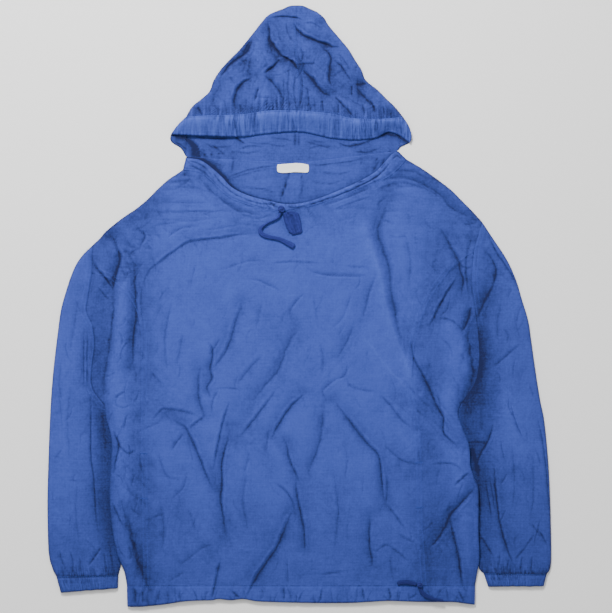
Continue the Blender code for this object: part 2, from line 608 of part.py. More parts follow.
def cuff(side):
    """Elastic cuff: a short flat ring with gathers on its upper layer."""
    near_left, near_right, far_left, far_right = CUFF_LEFT if side == "left" else CUFF_RIGHT
    steps = np.concatenate([[0, .02], np.linspace(.055, .945, 2 * CUFF_GATHERS + 1), [.98, 1]])
    top = straight(near_left, near_right, steps)
    bottom = straight(far_left, far_right, steps)
    rows = even(2)[:, None, None]
    xy = bottom[None] + rows * (top - bottom)[None]
    xy = draw_in(xy, top=SEAM)
    away = np.minimum(distance(xy, xy[:, 0]), distance(xy, xy[:, -1]))
    wave = GATHER * (-1.0) ** np.arange(len(steps))
    puff = PUFF * np.sin(np.pi * rows[..., 0])
    high = FOLD_TURN + (CUFF_LOFT + wave + puff - FOLD_TURN) * roll(away)
    low = FOLD_TURN * (1 - roll(away, FOLD_TURN))
    ring_wall("cuff_" + side, xy, high, low, DEEP_BLUE)


# ---------------------------------------------------------------- hood
def hood_height(xy):
    """Hood's upper layer, before it turns down at its outline."""
    crown = ease(distance(xy, smooth(HOOD_OUT_LEFT + HOOD_OUT_RIGHT[::-1])) / HOOD_RISE)
    return HOOD_SIDE_LOFT + (HOOD_LOFT - HOOD_SIDE_LOFT) * crown + folded(xy, HOOD_FOLDS)


def hood_half(side):
    """Half of the hood: from the crown seam over the outline's fold to the seam underneath."""
    left_side = side == "left"
    outline = along(smooth(HOOD_OUT_LEFT if left_side else HOOD_OUT_RIGHT), even(HOOD_ROWS))
    crown = along(smooth(CROWN_SEAM), even(HOOD_ROWS))
    centre_back = straight(BACK_NECK[1], CROWN_SEAM[-1], even(HOOD_ROWS))
    steps = np.array(HOOD_STEPS)
    peak = along(smooth(PEAK_LEFT if left_side else PEAK_RIGHT), steps)
    brim = along(smooth(BRIM_SEAM_LEFT if left_side else BRIM_SEAM_RIGHT[::-1]), steps)
    corner = BACK_NECK[0] if left_side else BACK_NECK[2]
    turned_in = outline[0] + even(3)[:, None] * (plan(corner) - outline[0])
    under_edge = join(turned_in, straight(corner, BACK_NECK[1], even(5)))
    upper = patch(outline, crown, brim, peak)
    under = patch(outline, centre_back, under_edge, peak)
    upper = draw_in(upper, right=SEAM, bottom=SEAM)
    under = draw_in(under, right=SEAM, bottom=SEAM)
    from_side = np.linalg.norm(upper - upper[:, :1], axis=-1)
    from_peak = distance(upper, join(smooth(PEAK_LEFT), smooth(PEAK_RIGHT)[::-1]))
    high = PAIR + (hood_height(upper) - PAIR) * roll(from_peak, HOOD_ROLL)
    turn = np.minimum(FOLD_TURN, high[:, :1] / 2)
    high = (turn + np.maximum(PAIR - turn, 0) * roll(from_side, FOLD_TURN / 2)
            + (high - np.maximum(PAIR, turn)) * roll(from_side, HOOD_ROLL))
    low = turn * (1 - roll(np.linalg.norm(under - under[:, :1], axis=-1), FOLD_TURN))
    above, below = raised(upper, high), raised(under, low)
    run_up, run_under = run_of(upper), run_of(under)
    if left_side:
        outer = np.concatenate([below[:, :0:-1], above], axis=1)
        run = np.concatenate([run_under[:, :0:-1], run_up], axis=1)
    else:
        outer = np.concatenate([above[:, ::-1], below[:, 1:]], axis=1)
        run = np.concatenate([run_up[:, ::-1], run_under[:, 1:]], axis=1)
    fold = len(steps) - 1
    inner_column = fold + 1 if left_side else fold - 1
    wall("hood_" + side, outer, lined(outer, run, False, [(fold, inner_column)]))


def brim_end(side):
    """End of the hood's casing, turned under to the neck: it lies flat beside the hood."""
    turn = smooth(BRIM_TURN_LEFT if side == "left" else BRIM_TURN_RIGHT)
    rows = even(8)
    outer = along(turn, rows)
    inner = outer[0] + rows[:, None] * (outer[-1] - outer[0])
    keep = slice(1, -1)
    sides = (outer[keep], inner[keep]) if side == "left" else (inner[keep], outer[keep])
    steps = even(3)[:, None]
    xy = patch(sides[0][::-1], sides[1][::-1],
               sides[0][-1] + steps * (sides[1][-1] - sides[0][-1]),
               sides[0][0] + steps * (sides[1][0] - sides[0][0]))
    if side == "left":
        xy = draw_in(xy, right=SEAM * 2)
    else:
        xy = draw_in(xy, left=SEAM * 2)
    face = raised(xy, CLOTH)
    wall("brim_end_" + side, face, sunk(face), DEEP_BLUE)


def hood_brim():
    """Elastic casing along the hood's opening, with its gathers."""
    top = join(along(smooth(BRIM_SEAM_LEFT), HOOD_STEPS),
               along(smooth(BRIM_SEAM_RIGHT[::-1]), HOOD_STEPS)[::-1])
    top = along(top, even(2 * BRIM_GATHERS))
    bottom = along(smooth(BRIM_EDGE), even(2 * BRIM_GATHERS))
    rows = np.array([0, .10, .5, 1])
    left = along(smooth(BRIM_END_LEFT), rows)
    right = along(smooth(BRIM_END_RIGHT), rows)
    left[-1], right[-1] = top[0], top[-1]
    bottom[0], bottom[-1] = left[0], right[0]
    xy = patch(left, right, bottom, top)
    xy = draw_in(xy, top=4 * SEAM)
    ends = np.minimum(distance(xy, xy[:, 0]), distance(xy, xy[:, -1]))
    wave = GATHER * (-1.0) ** np.arange(xy.shape[1])
    height = BRIM_END_LOFT + (HOOD_LOFT + GATHER - BRIM_END_LOFT) * roll(ends, BRIM_ROLL)
    height = height + wave * np.array([.4, 1, 1, .5])[:, None]
    height[0] -= BRIM_LIP
    face = raised(xy, height)
    wall("hood_brim", face, sunk(face, BAND), DEEP_BLUE)


def neck_casing():
    """Drawstring casing along the front neckline."""
    seam_line = join(along(smooth(CASING_SEAM_LEFT), even(NECK_COLUMNS)),
                     along(smooth(CASING_SEAM_RIGHT), even(NECK_COLUMNS)))
    bottom = split(seam_line, 2)
    top = along(smooth(NECKLINE), lengths(bottom) / lengths(bottom)[-1])
    rows = np.array([0, .25, .6, .9, 1])[:, None, None]
    xy = bottom[None] + rows * (top - bottom)[None]
    xy = draw_in(xy, bottom=SEAM)
    ends = np.minimum(distance(xy, xy[:, 0]), distance(xy, xy[:, -1]))
    low = BAND + CLOTH + 2 * SEAM
    high = lay_height(bottom)[None] + np.array(CASING_BULGE)[:, None]
    height = low + (high - low) * roll(ends, CASING_ROLL)
    face = raised(xy, height)
    wall("neck_casing", face, sunk(face, BAND), DEEP_BLUE)


def label():
    """Blank woven label, sewn inside the back neck."""
    bpy.ops.mesh.primitive_cube_add(size=1)
    made = bpy.context.object
    mesh = made.data
    bpy.data.objects.remove(made)
    result = place("label", mesh, WHITE, 0.6)
    x, y = plan(LABEL_AT)
    for vertex in mesh.vertices:
        vertex.co = (x + vertex.co.x * LABEL_SIZE[0], y + vertex.co.y * LABEL_SIZE[1],
                     CLOTH + SEAM + (vertex.co.z + 0.5) * LABEL_SIZE[2])
    return result


# ---------------------------------------------------------------- the garment
def build():
    """Empty the file and make every piece."""
    for old in list(bpy.data.objects):
        bpy.data.objects.remove(old)
    collection = bpy.data.collections.new("anorak_pullover")
    bpy.context.scene.collection.children.link(collection)
    back_body()
    front_body()
    for side in ("left", "right"):
        side_panel(side)
        sleeve(side)
        cuff(side)
        hood_half(side)
        brim_end(side)
    hood_brim()
    neck_casing()
    hem_casing()
    label()
    knot("neck_tie_knot", NECK_KNOT, NECK_KNOT_SIZE)
    tie("neck_tie_loop", NECK_LOOP, NECK_TIE)
    neck_tie_bow()
    knot("hem_tie_knot", HEM_KNOT, HEM_KNOT_SIZE)
    tie("hem_tie_left", HEM_END_LEFT, HEM_TIE)
    tie("hem_tie_right", HEM_END_RIGHT, HEM_TIE)


build()
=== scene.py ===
"""Anorak pullover in light crinkled cotton, laid flat with its front and its hood up.

Each piece is a surface worked out from the lay plan, in plan steps of 1.6 mm: columns run right,
rows run down, and +Z stands up from the table.
"""
from collections import namedtuple

import bpy
import numpy as np
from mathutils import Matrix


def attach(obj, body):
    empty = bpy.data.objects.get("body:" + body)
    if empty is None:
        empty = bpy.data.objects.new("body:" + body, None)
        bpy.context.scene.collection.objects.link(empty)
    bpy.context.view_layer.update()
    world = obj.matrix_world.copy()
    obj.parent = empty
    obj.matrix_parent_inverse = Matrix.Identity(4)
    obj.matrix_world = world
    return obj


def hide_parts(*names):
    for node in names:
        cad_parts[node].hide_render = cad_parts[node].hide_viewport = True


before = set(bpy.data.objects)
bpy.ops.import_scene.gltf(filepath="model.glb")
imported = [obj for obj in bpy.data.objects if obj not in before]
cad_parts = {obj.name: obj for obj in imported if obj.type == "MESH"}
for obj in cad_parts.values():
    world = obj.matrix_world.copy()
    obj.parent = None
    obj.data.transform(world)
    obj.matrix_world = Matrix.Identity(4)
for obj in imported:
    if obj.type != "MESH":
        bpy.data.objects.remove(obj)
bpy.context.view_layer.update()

# ------------------------------------------------------------ table, light and camera
# The garment lies on a pale table. A soft light stands beyond the hood, a little to the left, with
# a weak one to each side, and the camera looks straight down through a long lens.
VIEW_WIDTH = 612 * 0.0016
VIEW_CENTRE = (0.0104, -0.0004)
LENS, SENSOR = 150, 36
TABLE_HALF, TABLE_TOP = 4, -0.0003
TABLE_WHITE, TABLE_ROUGHNESS = (0.93, 0.93, 0.93, 1), 0.9
ROOM_LIGHT = 0.60
LIGHTS = (                       # name, place, size, power
    ("key", (-0.55, 1.70, 1.65), 0.60, 86),
    ("left_fill", (-2.2, 0.2, 2.0), 1.8, 9),
    ("right_fill", (2.2, 0.4, 2.0), 1.8, 7),
)

camera = bpy.data.objects.new("camera", bpy.data.cameras.new("camera"))
camera.data.lens = LENS
camera.data.sensor_width = SENSOR
camera.data.sensor_fit = "HORIZONTAL"
camera.data.clip_end = 30
camera.location = (*VIEW_CENTRE, VIEW_WIDTH * LENS / SENSOR)
bpy.context.scene.collection.objects.link(camera)
bpy.context.scene.camera = camera

table = bpy.data.meshes.new("table")
corners = [(x * TABLE_HALF, y * TABLE_HALF, TABLE_TOP) for x, y in ((-1, -1), (1, -1), (1, 1), (-1, 1))]
table.from_pydata(corners, [], [(0, 1, 2, 3)])
floor = bpy.data.objects.new("table", table)
bpy.context.scene.collection.objects.link(floor)
paper = bpy.data.materials.new("table_white")
paper.use_nodes = True
paper.node_tree.nodes["Principled BSDF"].inputs["Base Color"].default_value = TABLE_WHITE
paper.node_tree.nodes["Principled BSDF"].inputs["Roughness"].default_value = TABLE_ROUGHNESS
table.materials.append(paper)

world = bpy.data.worlds.new("studio")
world.use_nodes = True
world.node_tree.nodes["Background"].inputs["Color"].default_value = (1, 1, 1, 1)
world.node_tree.nodes["Background"].inputs["Strength"].default_value = ROOM_LIGHT
bpy.context.scene.world = world

for name, place, size, power in LIGHTS:
    lamp = bpy.data.objects.new(name, bpy.data.lights.new(name, "AREA"))
    lamp.data.size = size
    lamp.data.energy = power
    lamp.location = place
    aim = -np.array(place) / np.linalg.norm(place)
    lamp.rotation_euler = (np.arccos(-aim[2]), 0, np.arctan2(aim[1], aim[0]) - np.pi / 2)
    bpy.context.scene.collection.objects.link(lamp)

# ------------------------------------------------------------ drawstrings
# Narrow self-fabric tape, pressed flat and sewn along one edge. One end hangs out of the eyelet in
# the neck casing beside a bow, and two short ends leave the knot on the hem.
STEP = 0.0016
MIDDLE = (299.5, 306.25)
NECK_TIE, HEM_TIE = 0.0060, 0.0050
TAPE_THICK = 0.34                # share of a tape's width
TAPE_RINGS, TAPE_TIP = 0.0012, 0.0008   # spacing of its rings, length of its rounded ends
TAPE_SINK = 0.0007               # how far its middle lies below its route
SHARP_ANGLE = 1.15               # radians between faces at which an edge is shown sharp
DEEPEST_TONE = 1.45              # limit that a crease's tone nears
NECK_ROUTE = [(280.2, 212.9, .0113), (278.6, 217, .0102), (274, 220, .0099), (267, 223.5, .0097),
              (261.5, 227.5, .0094), (260.5, 232, .0093), (264, 235.5, .0095), (271, 237.5, .0097),
              (279, 239.2, .0097), (287, 242.8, .0097), (294.5, 247, .0097)]
HEM_LEFT_ROUTE = [(416.5, 583.9, .0093), (411.5, 582.6, .0092), (406.5, 581.6, .0092),
                  (401.5, 581.8, .0092), (397, 583.5, .0092)]
HEM_RIGHT_ROUTE = [(420.2, 587.5, .0098), (421.6, 591.5, .0097), (425.5, 595.2, .0097),
                   (431, 597.6, .0097), (437, 599.2, .0097), (443, 600, .0097)]
NECK_KNOT, NECK_KNOT_SIZE = (281.5, 209.5, .0115), (.0110, .0110, .0060)
HEM_KNOT, HEM_KNOT_SIZE = (419.5, 584.5, .0095), (.0090, .0090, .0055)
BOW_LEFT = [(283.2, 213.4, .0122), (283.6, 219, .0104), (285.6, 226, .0094), (288.8, 231.5, .0092),
            (292.5, 235.3, .0091)]
BOW_RIGHT = [(290.6, 211.2, .0122), (298.6, 213.4, .0106), (301, 222.5, .0094), (302.2, 230.5, .0092),
             (301.2, 233.6, .0091)]
TAPE_BLUE = ((0.005, 0.007, 0.045), (0.020, 0.028, 0.175), (0.036, 0.056, 0.310))


def plan(points):
    """Plan points as metres: columns to the right of the middle, rows above it."""
    table = np.asarray(points, float)
    return (table[..., :2] - MIDDLE) * (STEP, -STEP)


def smooth(points, pieces=12):
    """Catmull-Rom curve through plan points, as a close polyline in metres."""
    p = plan(points)
    p = np.vstack([2 * p[0] - p[1], p, 2 * p[-1] - p[-2]])
    t = np.linspace(0, 1, pieces, endpoint=False)[:, None]
    before, start, end, after = p[:-3, None], p[1:-2, None], p[2:-1, None], p[3:, None]
    bend = (2 * start + (end - before) * t + (2 * before - 5 * start + 4 * end - after) * t ** 2
            + (3 * start - before - 3 * end + after) * t ** 3)
    return np.vstack([bend.reshape(-1, 2) / 2, p[-2]])


def lengths(line):
    """Length run along a polyline at each of its points."""
    return np.concatenate([[0], np.cumsum(np.linalg.norm(np.diff(line, axis=0), axis=1))])


def along(line, steps):
    """Points of a polyline at the given fractions of its length."""
    run = lengths(line)
    at = np.clip(np.asarray(steps, float), 0, 1) * run[-1]
    return np.stack([np.interp(at, run, line[:, k]) for k in range(line.shape[1])], axis=-1)


def even(count):
    """Evenly spaced fractions from 0 to 1."""
    return np.linspace(0, 1, count + 1)


def unit(v):
    """Vectors of length 1."""
    return v / np.maximum(np.linalg.norm(v, axis=-1, keepdims=True), 1e-12)


def noise(x, y, seed=0):
    """Gradient noise from -1 to 1: at each lattice corner a slope of its own, eased between them."""
    column, row = np.floor(x), np.floor(y)
    u, v = x - column, y - row

    def corner(right, up):
        turn = np.sin((column + right) * 127.1 + (row + up) * 311.7 + seed * 74.7) * 43758.5453
        angle = 2 * np.pi * (turn - np.floor(turn))
        return np.cos(angle) * (u - right) + np.sin(angle) * (v - up)
    ease_u = u * u * u * (u * (u * 6 - 15) + 10)
    ease_v = v * v * v * (v * (v * 6 - 15) + 10)
    low = corner(0, 0) * (1 - ease_u) + corner(1, 0) * ease_u
    high = corner(0, 1) * (1 - ease_u) + corner(1, 1) * ease_u
    return 1.4 * (low * (1 - ease_v) + high * ease_v)


class Socket:
    """A shader value: each arithmetic operator on it adds its Math node."""

    def __init__(self, finish, output):
        self.finish, self.output = finish, output

    def math(self, operation, first, second):
        return self.finish.node("ShaderNodeMath", {"operation": operation}, first, second)

    def __add__(self, other):
        return self.math("ADD", self, other)

    def __sub__(self, other):
        return self.math("SUBTRACT", self, other)

    def __rsub__(self, other):
        return self.math("SUBTRACT", other, self)

    def __mul__(self, other):
        return self.math("MULTIPLY", self, other)

    __radd__, __rmul__ = __add__, __mul__


class Finish:
    """A material: its constants go on the shader's own sockets, its patterns come from node()."""

    def __init__(self, name, colour, **constants):
        self.material = bpy.data.materials.new(name)
        self.material.use_nodes = True
        self.material.diffuse_color = (*colour, 1)
        self.tree = self.material.node_tree
        self.shader = self.tree.nodes["Principled BSDF"]
        self.shader.inputs["Base Color"].default_value = (*colour, 1)
        for socket, value in constants.items():
            self.shader.inputs[socket.replace("_", " ")].default_value = value

    def feed(self, socket, value):
        if isinstance(value, Socket):
            self.tree.links.new(value.output, socket)
        elif value is not None:
            socket.default_value = value

    def node(self, kind, settings=None, *inputs, out=0, **named):
        made = self.tree.nodes.new(kind)
        for key, value in (settings or {}).items():
            if key == "stops":
                while len(made.color_ramp.elements) < len(value):
                    made.color_ramp.elements.new(1)
                for element, (at, colour) in zip(made.color_ramp.elements, value):
                    element.position, element.color = at, (*colour, 1)
            else:
                setattr(made, key, value)
        for index, value in enumerate(inputs):
            self.feed(made.inputs[index], value)
        for socket, value in named.items():
            self.feed(made.inputs[socket], value)
        return Socket(self, made.outputs[out])


def cotton(name, blues, relief_tone=0.48, crinkle=0.0006):
    """Washed plain-weave cotton with slubs both ways: painted shade deepens it in the creases and
    painted highlight pales it on the ridges.

    The tone is 0.5 plus shares of the relief, of a broad mottle, of two stretched noises and of a
    fine grain, less shares of a ridged noise and of fine lines. The relief carries painted shade and
    painted highlight, and the ridged noise and the lines darken the tone as painted shade of fine
    folds. The lines run one way in each of four families, where a turned and stretched noise
    crosses its middle. The bump is a small crinkle with sharp valleys, those lines, the slubs and the
    over-and-under of the threads.
    """
    deep, mid, pale = blues
    cloth = Finish(name, mid, Roughness=0.88, Sheen_Weight=0.05, Sheen_Roughness=0.5,
                   Specular_IOR_Level=0.12)
    where = cloth.node("ShaderNodeTexCoord", out="Object")

    def pattern(scale, detail, rough=0.55, kind="FBM"):
        stretched = cloth.node("ShaderNodeVectorMath", {"operation": "MULTIPLY"}, where, scale)
        return cloth.node("ShaderNodeTexNoise", {"noise_type": kind}, Vector=stretched, Scale=1.0,
                          Detail=detail, Roughness=rough)

    def ripples(turn, scale, place):
        turned = cloth.node("ShaderNodeMapping", {"vector_type": "TEXTURE"}, Vector=where, Location=place,
                            Rotation=(0, 0, turn), Scale=[1 / part for part in scale])
        wave = cloth.node("ShaderNodeTexNoise", None, Vector=turned, Scale=1.0, Detail=1.0)
        line = 1 - (wave - 0.5).math("ABSOLUTE", wave - 0.5, None) * 13
        shown = (cloth.node("ShaderNodeTexNoise", None, Vector=where, Scale=16.0, Detail=1.0) - 0.40) * 4
        shown = shown.math("MINIMUM", shown.math("MAXIMUM", shown, 0.0), 1.0)
        return line.math("MAXIMUM", line, 0.0) * shown

    relief = cloth.node("ShaderNodeAttribute", {"attribute_name": "relief"}, out="Fac")
    crinkled = cloth.node("ShaderNodeAttribute", {"attribute_name": "crinkled"}, out="Fac")
    lines = (ripples(0.12, (20, 120, 40), (3, 5, 0)) * 0.6
             + ripples(1.35, (22, 130, 40), (7, 2, 0))
             + ripples(-0.85, (22, 125, 40), (1, 9, 0))
             + ripples(0.80, (22, 125, 40), (5, 3, 0)) * 0.7) * crinkled
    mottle = pattern((22, 17, 20), 3.0)
    warp = pattern((420, 44, 300), 3.0)
    weft = pattern((30, 420, 300), 3.0)
    grain = pattern((330, 330, 330), 2.0)
    fold = pattern((95, 62, 80), 3.0, 0.5, "RIDGED_MULTIFRACTAL")
    tone = 0.5 - lines * 0.045 + relief * relief_tone + (mottle - 0.5) * 0.16 + (warp - 0.5) * 0.13
    tone = tone + (weft - 0.5) * 0.21 + (grain - 0.5) * 0.29 - (fold - 0.5) * 0.06
    colour = cloth.node("ShaderNodeValToRGB", {"stops": ((0.02, deep), (0.5, mid), (0.95, pale))}, tone)
    cloth.feed(cloth.shader.inputs["Base Color"], colour)
    fine = pattern((150, 120, 150), 4.0, 0.6)
    threads = [cloth.node("ShaderNodeMath", {"operation": "SINE"}, part) for part in (
        cloth.node("ShaderNodeSeparateXYZ", None, where, out=0) * 7400,
        cloth.node("ShaderNodeSeparateXYZ", None, where, out=1) * 7400)]
    height = fine * crinkle - fold * (crinkle * 0.9) + (warp + weft) * 0.00008
    height = height + threads[0] * threads[1] * 0.00002 - lines * (crinkle * 0.10)
    bump = cloth.node("ShaderNodeBump", None, Strength=1.0, Distance=1.0, Height=height)
    cloth.feed(cloth.shader.inputs["Normal"], bump)
    return cloth.material


def surface(name, grid, finish, replaces=(), relief=None, ring=False, thick=0.0, crinkled=0.6):
    """Mesh of a grid of points, rows by columns; a ring's last column meets its first.

    The relief is its tone, let off exponentially below 0 so that deep creases keep their shading.
    """
    rows, columns = grid.shape[:2]
    index = np.arange(rows * columns).reshape(rows, columns)
    if ring:
        index = np.concatenate([index, index[:, :1]], axis=1)
    quads = np.stack([index[:-1, :-1], index[:-1, 1:], index[1:, 1:], index[1:, :-1]], axis=-1)
    mesh = bpy.data.meshes.new(name)
    mesh.from_pydata(grid.reshape(-1, 3), [], quads.reshape(-1, 4))
    mesh.shade_smooth()
    mesh.set_sharp_from_angle(angle=SHARP_ANGLE)
    values = np.zeros(rows * columns) if relief is None else np.minimum(relief, 1).ravel()
    values = np.where(values < 0, DEEPEST_TONE * np.expm1(values / DEEPEST_TONE), values)
    shares = np.broadcast_to(crinkled, (rows, columns)).ravel()
    for attribute, numbers in (("relief", values), ("crinkled", shares)):
        stored = mesh.attributes.new(attribute, "FLOAT", "POINT")
        stored.data.foreach_set("value", numbers.astype(np.float32))
    mesh.materials.append(finish)
    piece = bpy.data.objects.new(name, mesh)
    bpy.context.scene.collection.objects.link(piece)
    if thick:
        wall = piece.modifiers.new("wall", "SOLIDIFY")
        wall.thickness, wall.offset = thick, -1
    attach(piece, "root")
    if replaces:
        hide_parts(*replaces)
    return piece


def tape(name, node, route, width, finish, widths, turns, tone=0.15):
    """Flat tape: a flat oval carried along its route, with its width and its roll at even steps.

    Painted shade darkens its tone at both edges and along the line where it is sewn.
    """
    route = np.asarray(route, float)
    flat = smooth(route)
    size = lengths(flat)[-1]
    share = np.interp(np.linspace(0, 1, len(route)), np.linspace(0, 1, len(flat)), lengths(flat) / size)
    steps = even(int(size / TAPE_RINGS))
    line = np.column_stack([along(flat, steps), np.interp(steps, share, route[:, 2]) - TAPE_SINK])
    run = unit(np.gradient(line, axis=0))
    side = unit(np.cross((0, 0, 1), run))
    up = np.cross(run, side)
    around = 2 * np.pi * even(16)[:-1]
    roll_angle = (np.interp(steps, np.linspace(0, 1, len(turns)), turns)
                  + 0.15 * noise(steps * 7, steps * 0, 3))
    wide = width / 2 * (np.interp(steps, np.linspace(0, 1, len(widths)), widths)
                        + 0.06 * noise(steps * 11, steps * 0 + 4, 5))
    thick = width / 2 * (TAPE_THICK + 0.06 * noise(steps * 17, steps * 0 + 9, 6))
    tip = np.maximum(np.sqrt(np.clip(np.minimum(steps, 1 - steps) * size / TAPE_TIP, 0.0, 1)), 0.02)
    broad = (wide * tip)[:, None] * np.cos(around)
    narrow = (thick * tip)[:, None] * np.sin(around)
    cosine, sine = np.cos(roll_angle)[:, None], np.sin(roll_angle)[:, None]
    grid = (line[:, None] + (broad * cosine - narrow * sine)[..., None] * side[:, None]
            + (broad * sine + narrow * cosine)[..., None] * up[:, None])
    sewn = np.exp(-((around[None] - np.pi / 2 + roll_angle[:, None]) / 0.25) ** 2)
    edge = np.abs(np.cos(around))[None] ** 4 + 0.7 * sewn
    piece = surface(name, grid, finish, [node], relief=tone - edge, ring=True)


def knotted(name, node, spot, size, finish):
    """Small tight knot: a flattened ball with slanting turns of the tape standing out round it.

    With u round the ball and v up it, the radius swells with the cosine of 3u + 4v, least at top
    and bottom, and shrinks with that of u + 6v.
    """
    u = 2 * np.pi * even(40)[:-1]
    v = np.pi * (even(24)[:, None] - 0.5)
    wrap = 1 + 0.09 * np.cos(3 * u + 4 * v) * np.cos(v) - 0.07 * np.cos(6 * v + u)
    middle = np.array([*plan(spot), spot[2]])
    ball = np.stack([np.cos(u) * np.cos(v), np.sin(u) * np.cos(v), np.sin(v) + 0 * u], axis=-1)
    grid = middle + ball * (wrap * 0.5)[..., None] * size
    # The tone follows the turns: painted shade between them and painted highlight on them, darker all over.
    surface(name, grid, finish, [node], relief=(wrap - 1) * 8 - 0.7, ring=True)


tape_finish = cotton("tape_navy", TAPE_BLUE, relief_tone=0.30, crinkle=0.0002)
tape("neck_tie_end", "neck_tie_loop", NECK_ROUTE, NECK_TIE, tape_finish,
     (0.8, 0.6, 0.5, 0.65, 1.2, 1.1, 0.95, 1.1, 1.3, 1.5), (0.3, 0.7, 0.9, 0.5, 0, 0, 0.2, 0, -0.1, 0))
tape("hem_tie_end_left", "hem_tie_left", HEM_LEFT_ROUTE, HEM_TIE, tape_finish,
     (1.0, 1.3, 1.4, 1.4, 1.4), (0, 0, 0.1, 0, 0), -0.7)
tape("hem_tie_end_right", "hem_tie_right", HEM_RIGHT_ROUTE, HEM_TIE, tape_finish,
     (1.0, 1.4, 1.4, 1.2, 1.0, 0.9, 0.9), (0, 0, 0.1, 0, 0), -0.9)
knotted("neck_knot", "neck_tie_knot", NECK_KNOT, NECK_KNOT_SIZE, tape_finish)
knotted("hem_knot", "hem_tie_knot", HEM_KNOT, HEM_KNOT_SIZE, tape_finish)

# The bow's loop: the same tape let out wide, folded back on itself and pressed flat on the front.
BOW_WALL = 0.0024


def bow_loop():
    """Flattened loop: an oval section between its two edges, with a valley where the runs part."""
    down = even(60)
    left = along(np.array([(*plan(p), p[2]) for p in BOW_LEFT]), down)
    right = along(np.array([(*plan(p), p[2]) for p in BOW_RIGHT]), down)
    around = 2 * np.pi * even(56)[:-1]
    across = 0.5 - 0.5 * np.cos(around)
    shape = np.abs(np.sin(around)) ** 0.45 * np.sign(np.sin(around) + 1e-9)
    close = np.sqrt(np.clip(np.minimum(down / 0.03 + 0.25, (1 - down) / 0.10), 0, 1))[:, None]
    middle = left[:, None] * (1 - across)[:, None] + right[:, None] * across[:, None]
    wander = 0.46 + 0.10 * np.sin(3.4 * down)[:, None]
    valley = np.exp(-((across - wander) / 0.07) ** 2) * (shape > 0)
    ruck = 0.0005 * noise(down[:, None] * 9 + across * 2, across * 5, 12) * (shape > 0)
    lift = BOW_WALL / 2 * shape * close - 0.0011 * valley * close + ruck * close
    grid = middle + np.dstack([0 * lift, 0 * lift, lift - BOW_WALL / 2])
    stripes = 0.35 * np.cos(across * 34 + 0.6 * np.sin(5 * down)[:, None]) ** 3
    # Tone: painted shade in the valley, along both edges and at the loop's end, and the ruck's painted light
    # and shade.
    return grid[::-1], (-0.15 - 0.7 * valley + stripes - 0.5 * (np.abs(across - 0.5) > 0.44)
                        - 0.4 * (down > 0.93)[:, None] + ruck * 900)[::-1]


bow_grid, bow_relief = bow_loop()
bow = surface("neck_bow", bow_grid, tape_finish, ["neck_tie_bow"], bow_relief, ring=True)

# ------------------------------------------------------------ front panel
# One wide panel of the crinkled cotton between two felled seams. It lies on the back with air in
# its folds: the large ones are the lay's own, and the narrow creases are pressed into the cloth.
CLOTH, SEAM = 0.0012, 0.0003     # wall of one layer, gap between layers
PAIR = 2 * CLOTH + SEAM
LOFT = 0.0064                    # height of the upper layer between its folds
EDGE_ROLL = 0.0080
SEAM_ROWS = (0.0022, 0.0085)     # distances of a felled seam's two stitched rows from its line
HEM_ROW = 585
SHOULDER_LEFT = [(93, 245), (100, 238.5), (106.5, 231), (122, 218.5), (136, 209), (147.5, 199.5),
                 (157, 190), (168, 180), (177, 174), (183, 170)]
SHOULDER_RIGHT = [(406.5, 159.5), (415, 164.5), (424, 170), (438, 180), (451, 190), (461, 200),
                  (471, 210), (482, 222)]
ARMHOLE_LEFT = [(93, 245), (92.5, 257), (92, 275), (88, 300), (87, 312), (93, 326), (95, 345),
                (92, 370), (93, 388), (104, 404)]
ARMHOLE_RIGHT = [(482, 222), (478, 235), (474, 250), (472, 270), (472, 290), (475, 310),
                 (478, 335), (479, 360), (475, 382), (462, 402)]
PRINCESS_AT = 0.17               # share of the armhole at which a side panel's seam starts
PRINCESS_LEFT = [(143, 585), (142, 520), (141, 440), (141, 350), (138, 318), (127, 295), (109, 279)]
PRINCESS_RIGHT = [(427, 585), (423, 520), (422, 460), (419, 420), (413, 385), (416, 340),
                  (430, 300), (454, 266)]
CASING_SEAM_LEFT = [(183, 170), (198, 172), (210, 180), (220, 190), (232, 199), (248, 205),
                    (265, 210), (283, 213)]
CASING_SEAM_RIGHT = [(283, 213), (297, 210), (312, 206), (330, 200), (347, 193), (365, 187),
                     (383, 180), (396, 171), (406.5, 159.5)]
COTTON_BLUE = ((0.009, 0.014, 0.066), (0.042, 0.069, 0.340), (0.067, 0.110, 0.487))

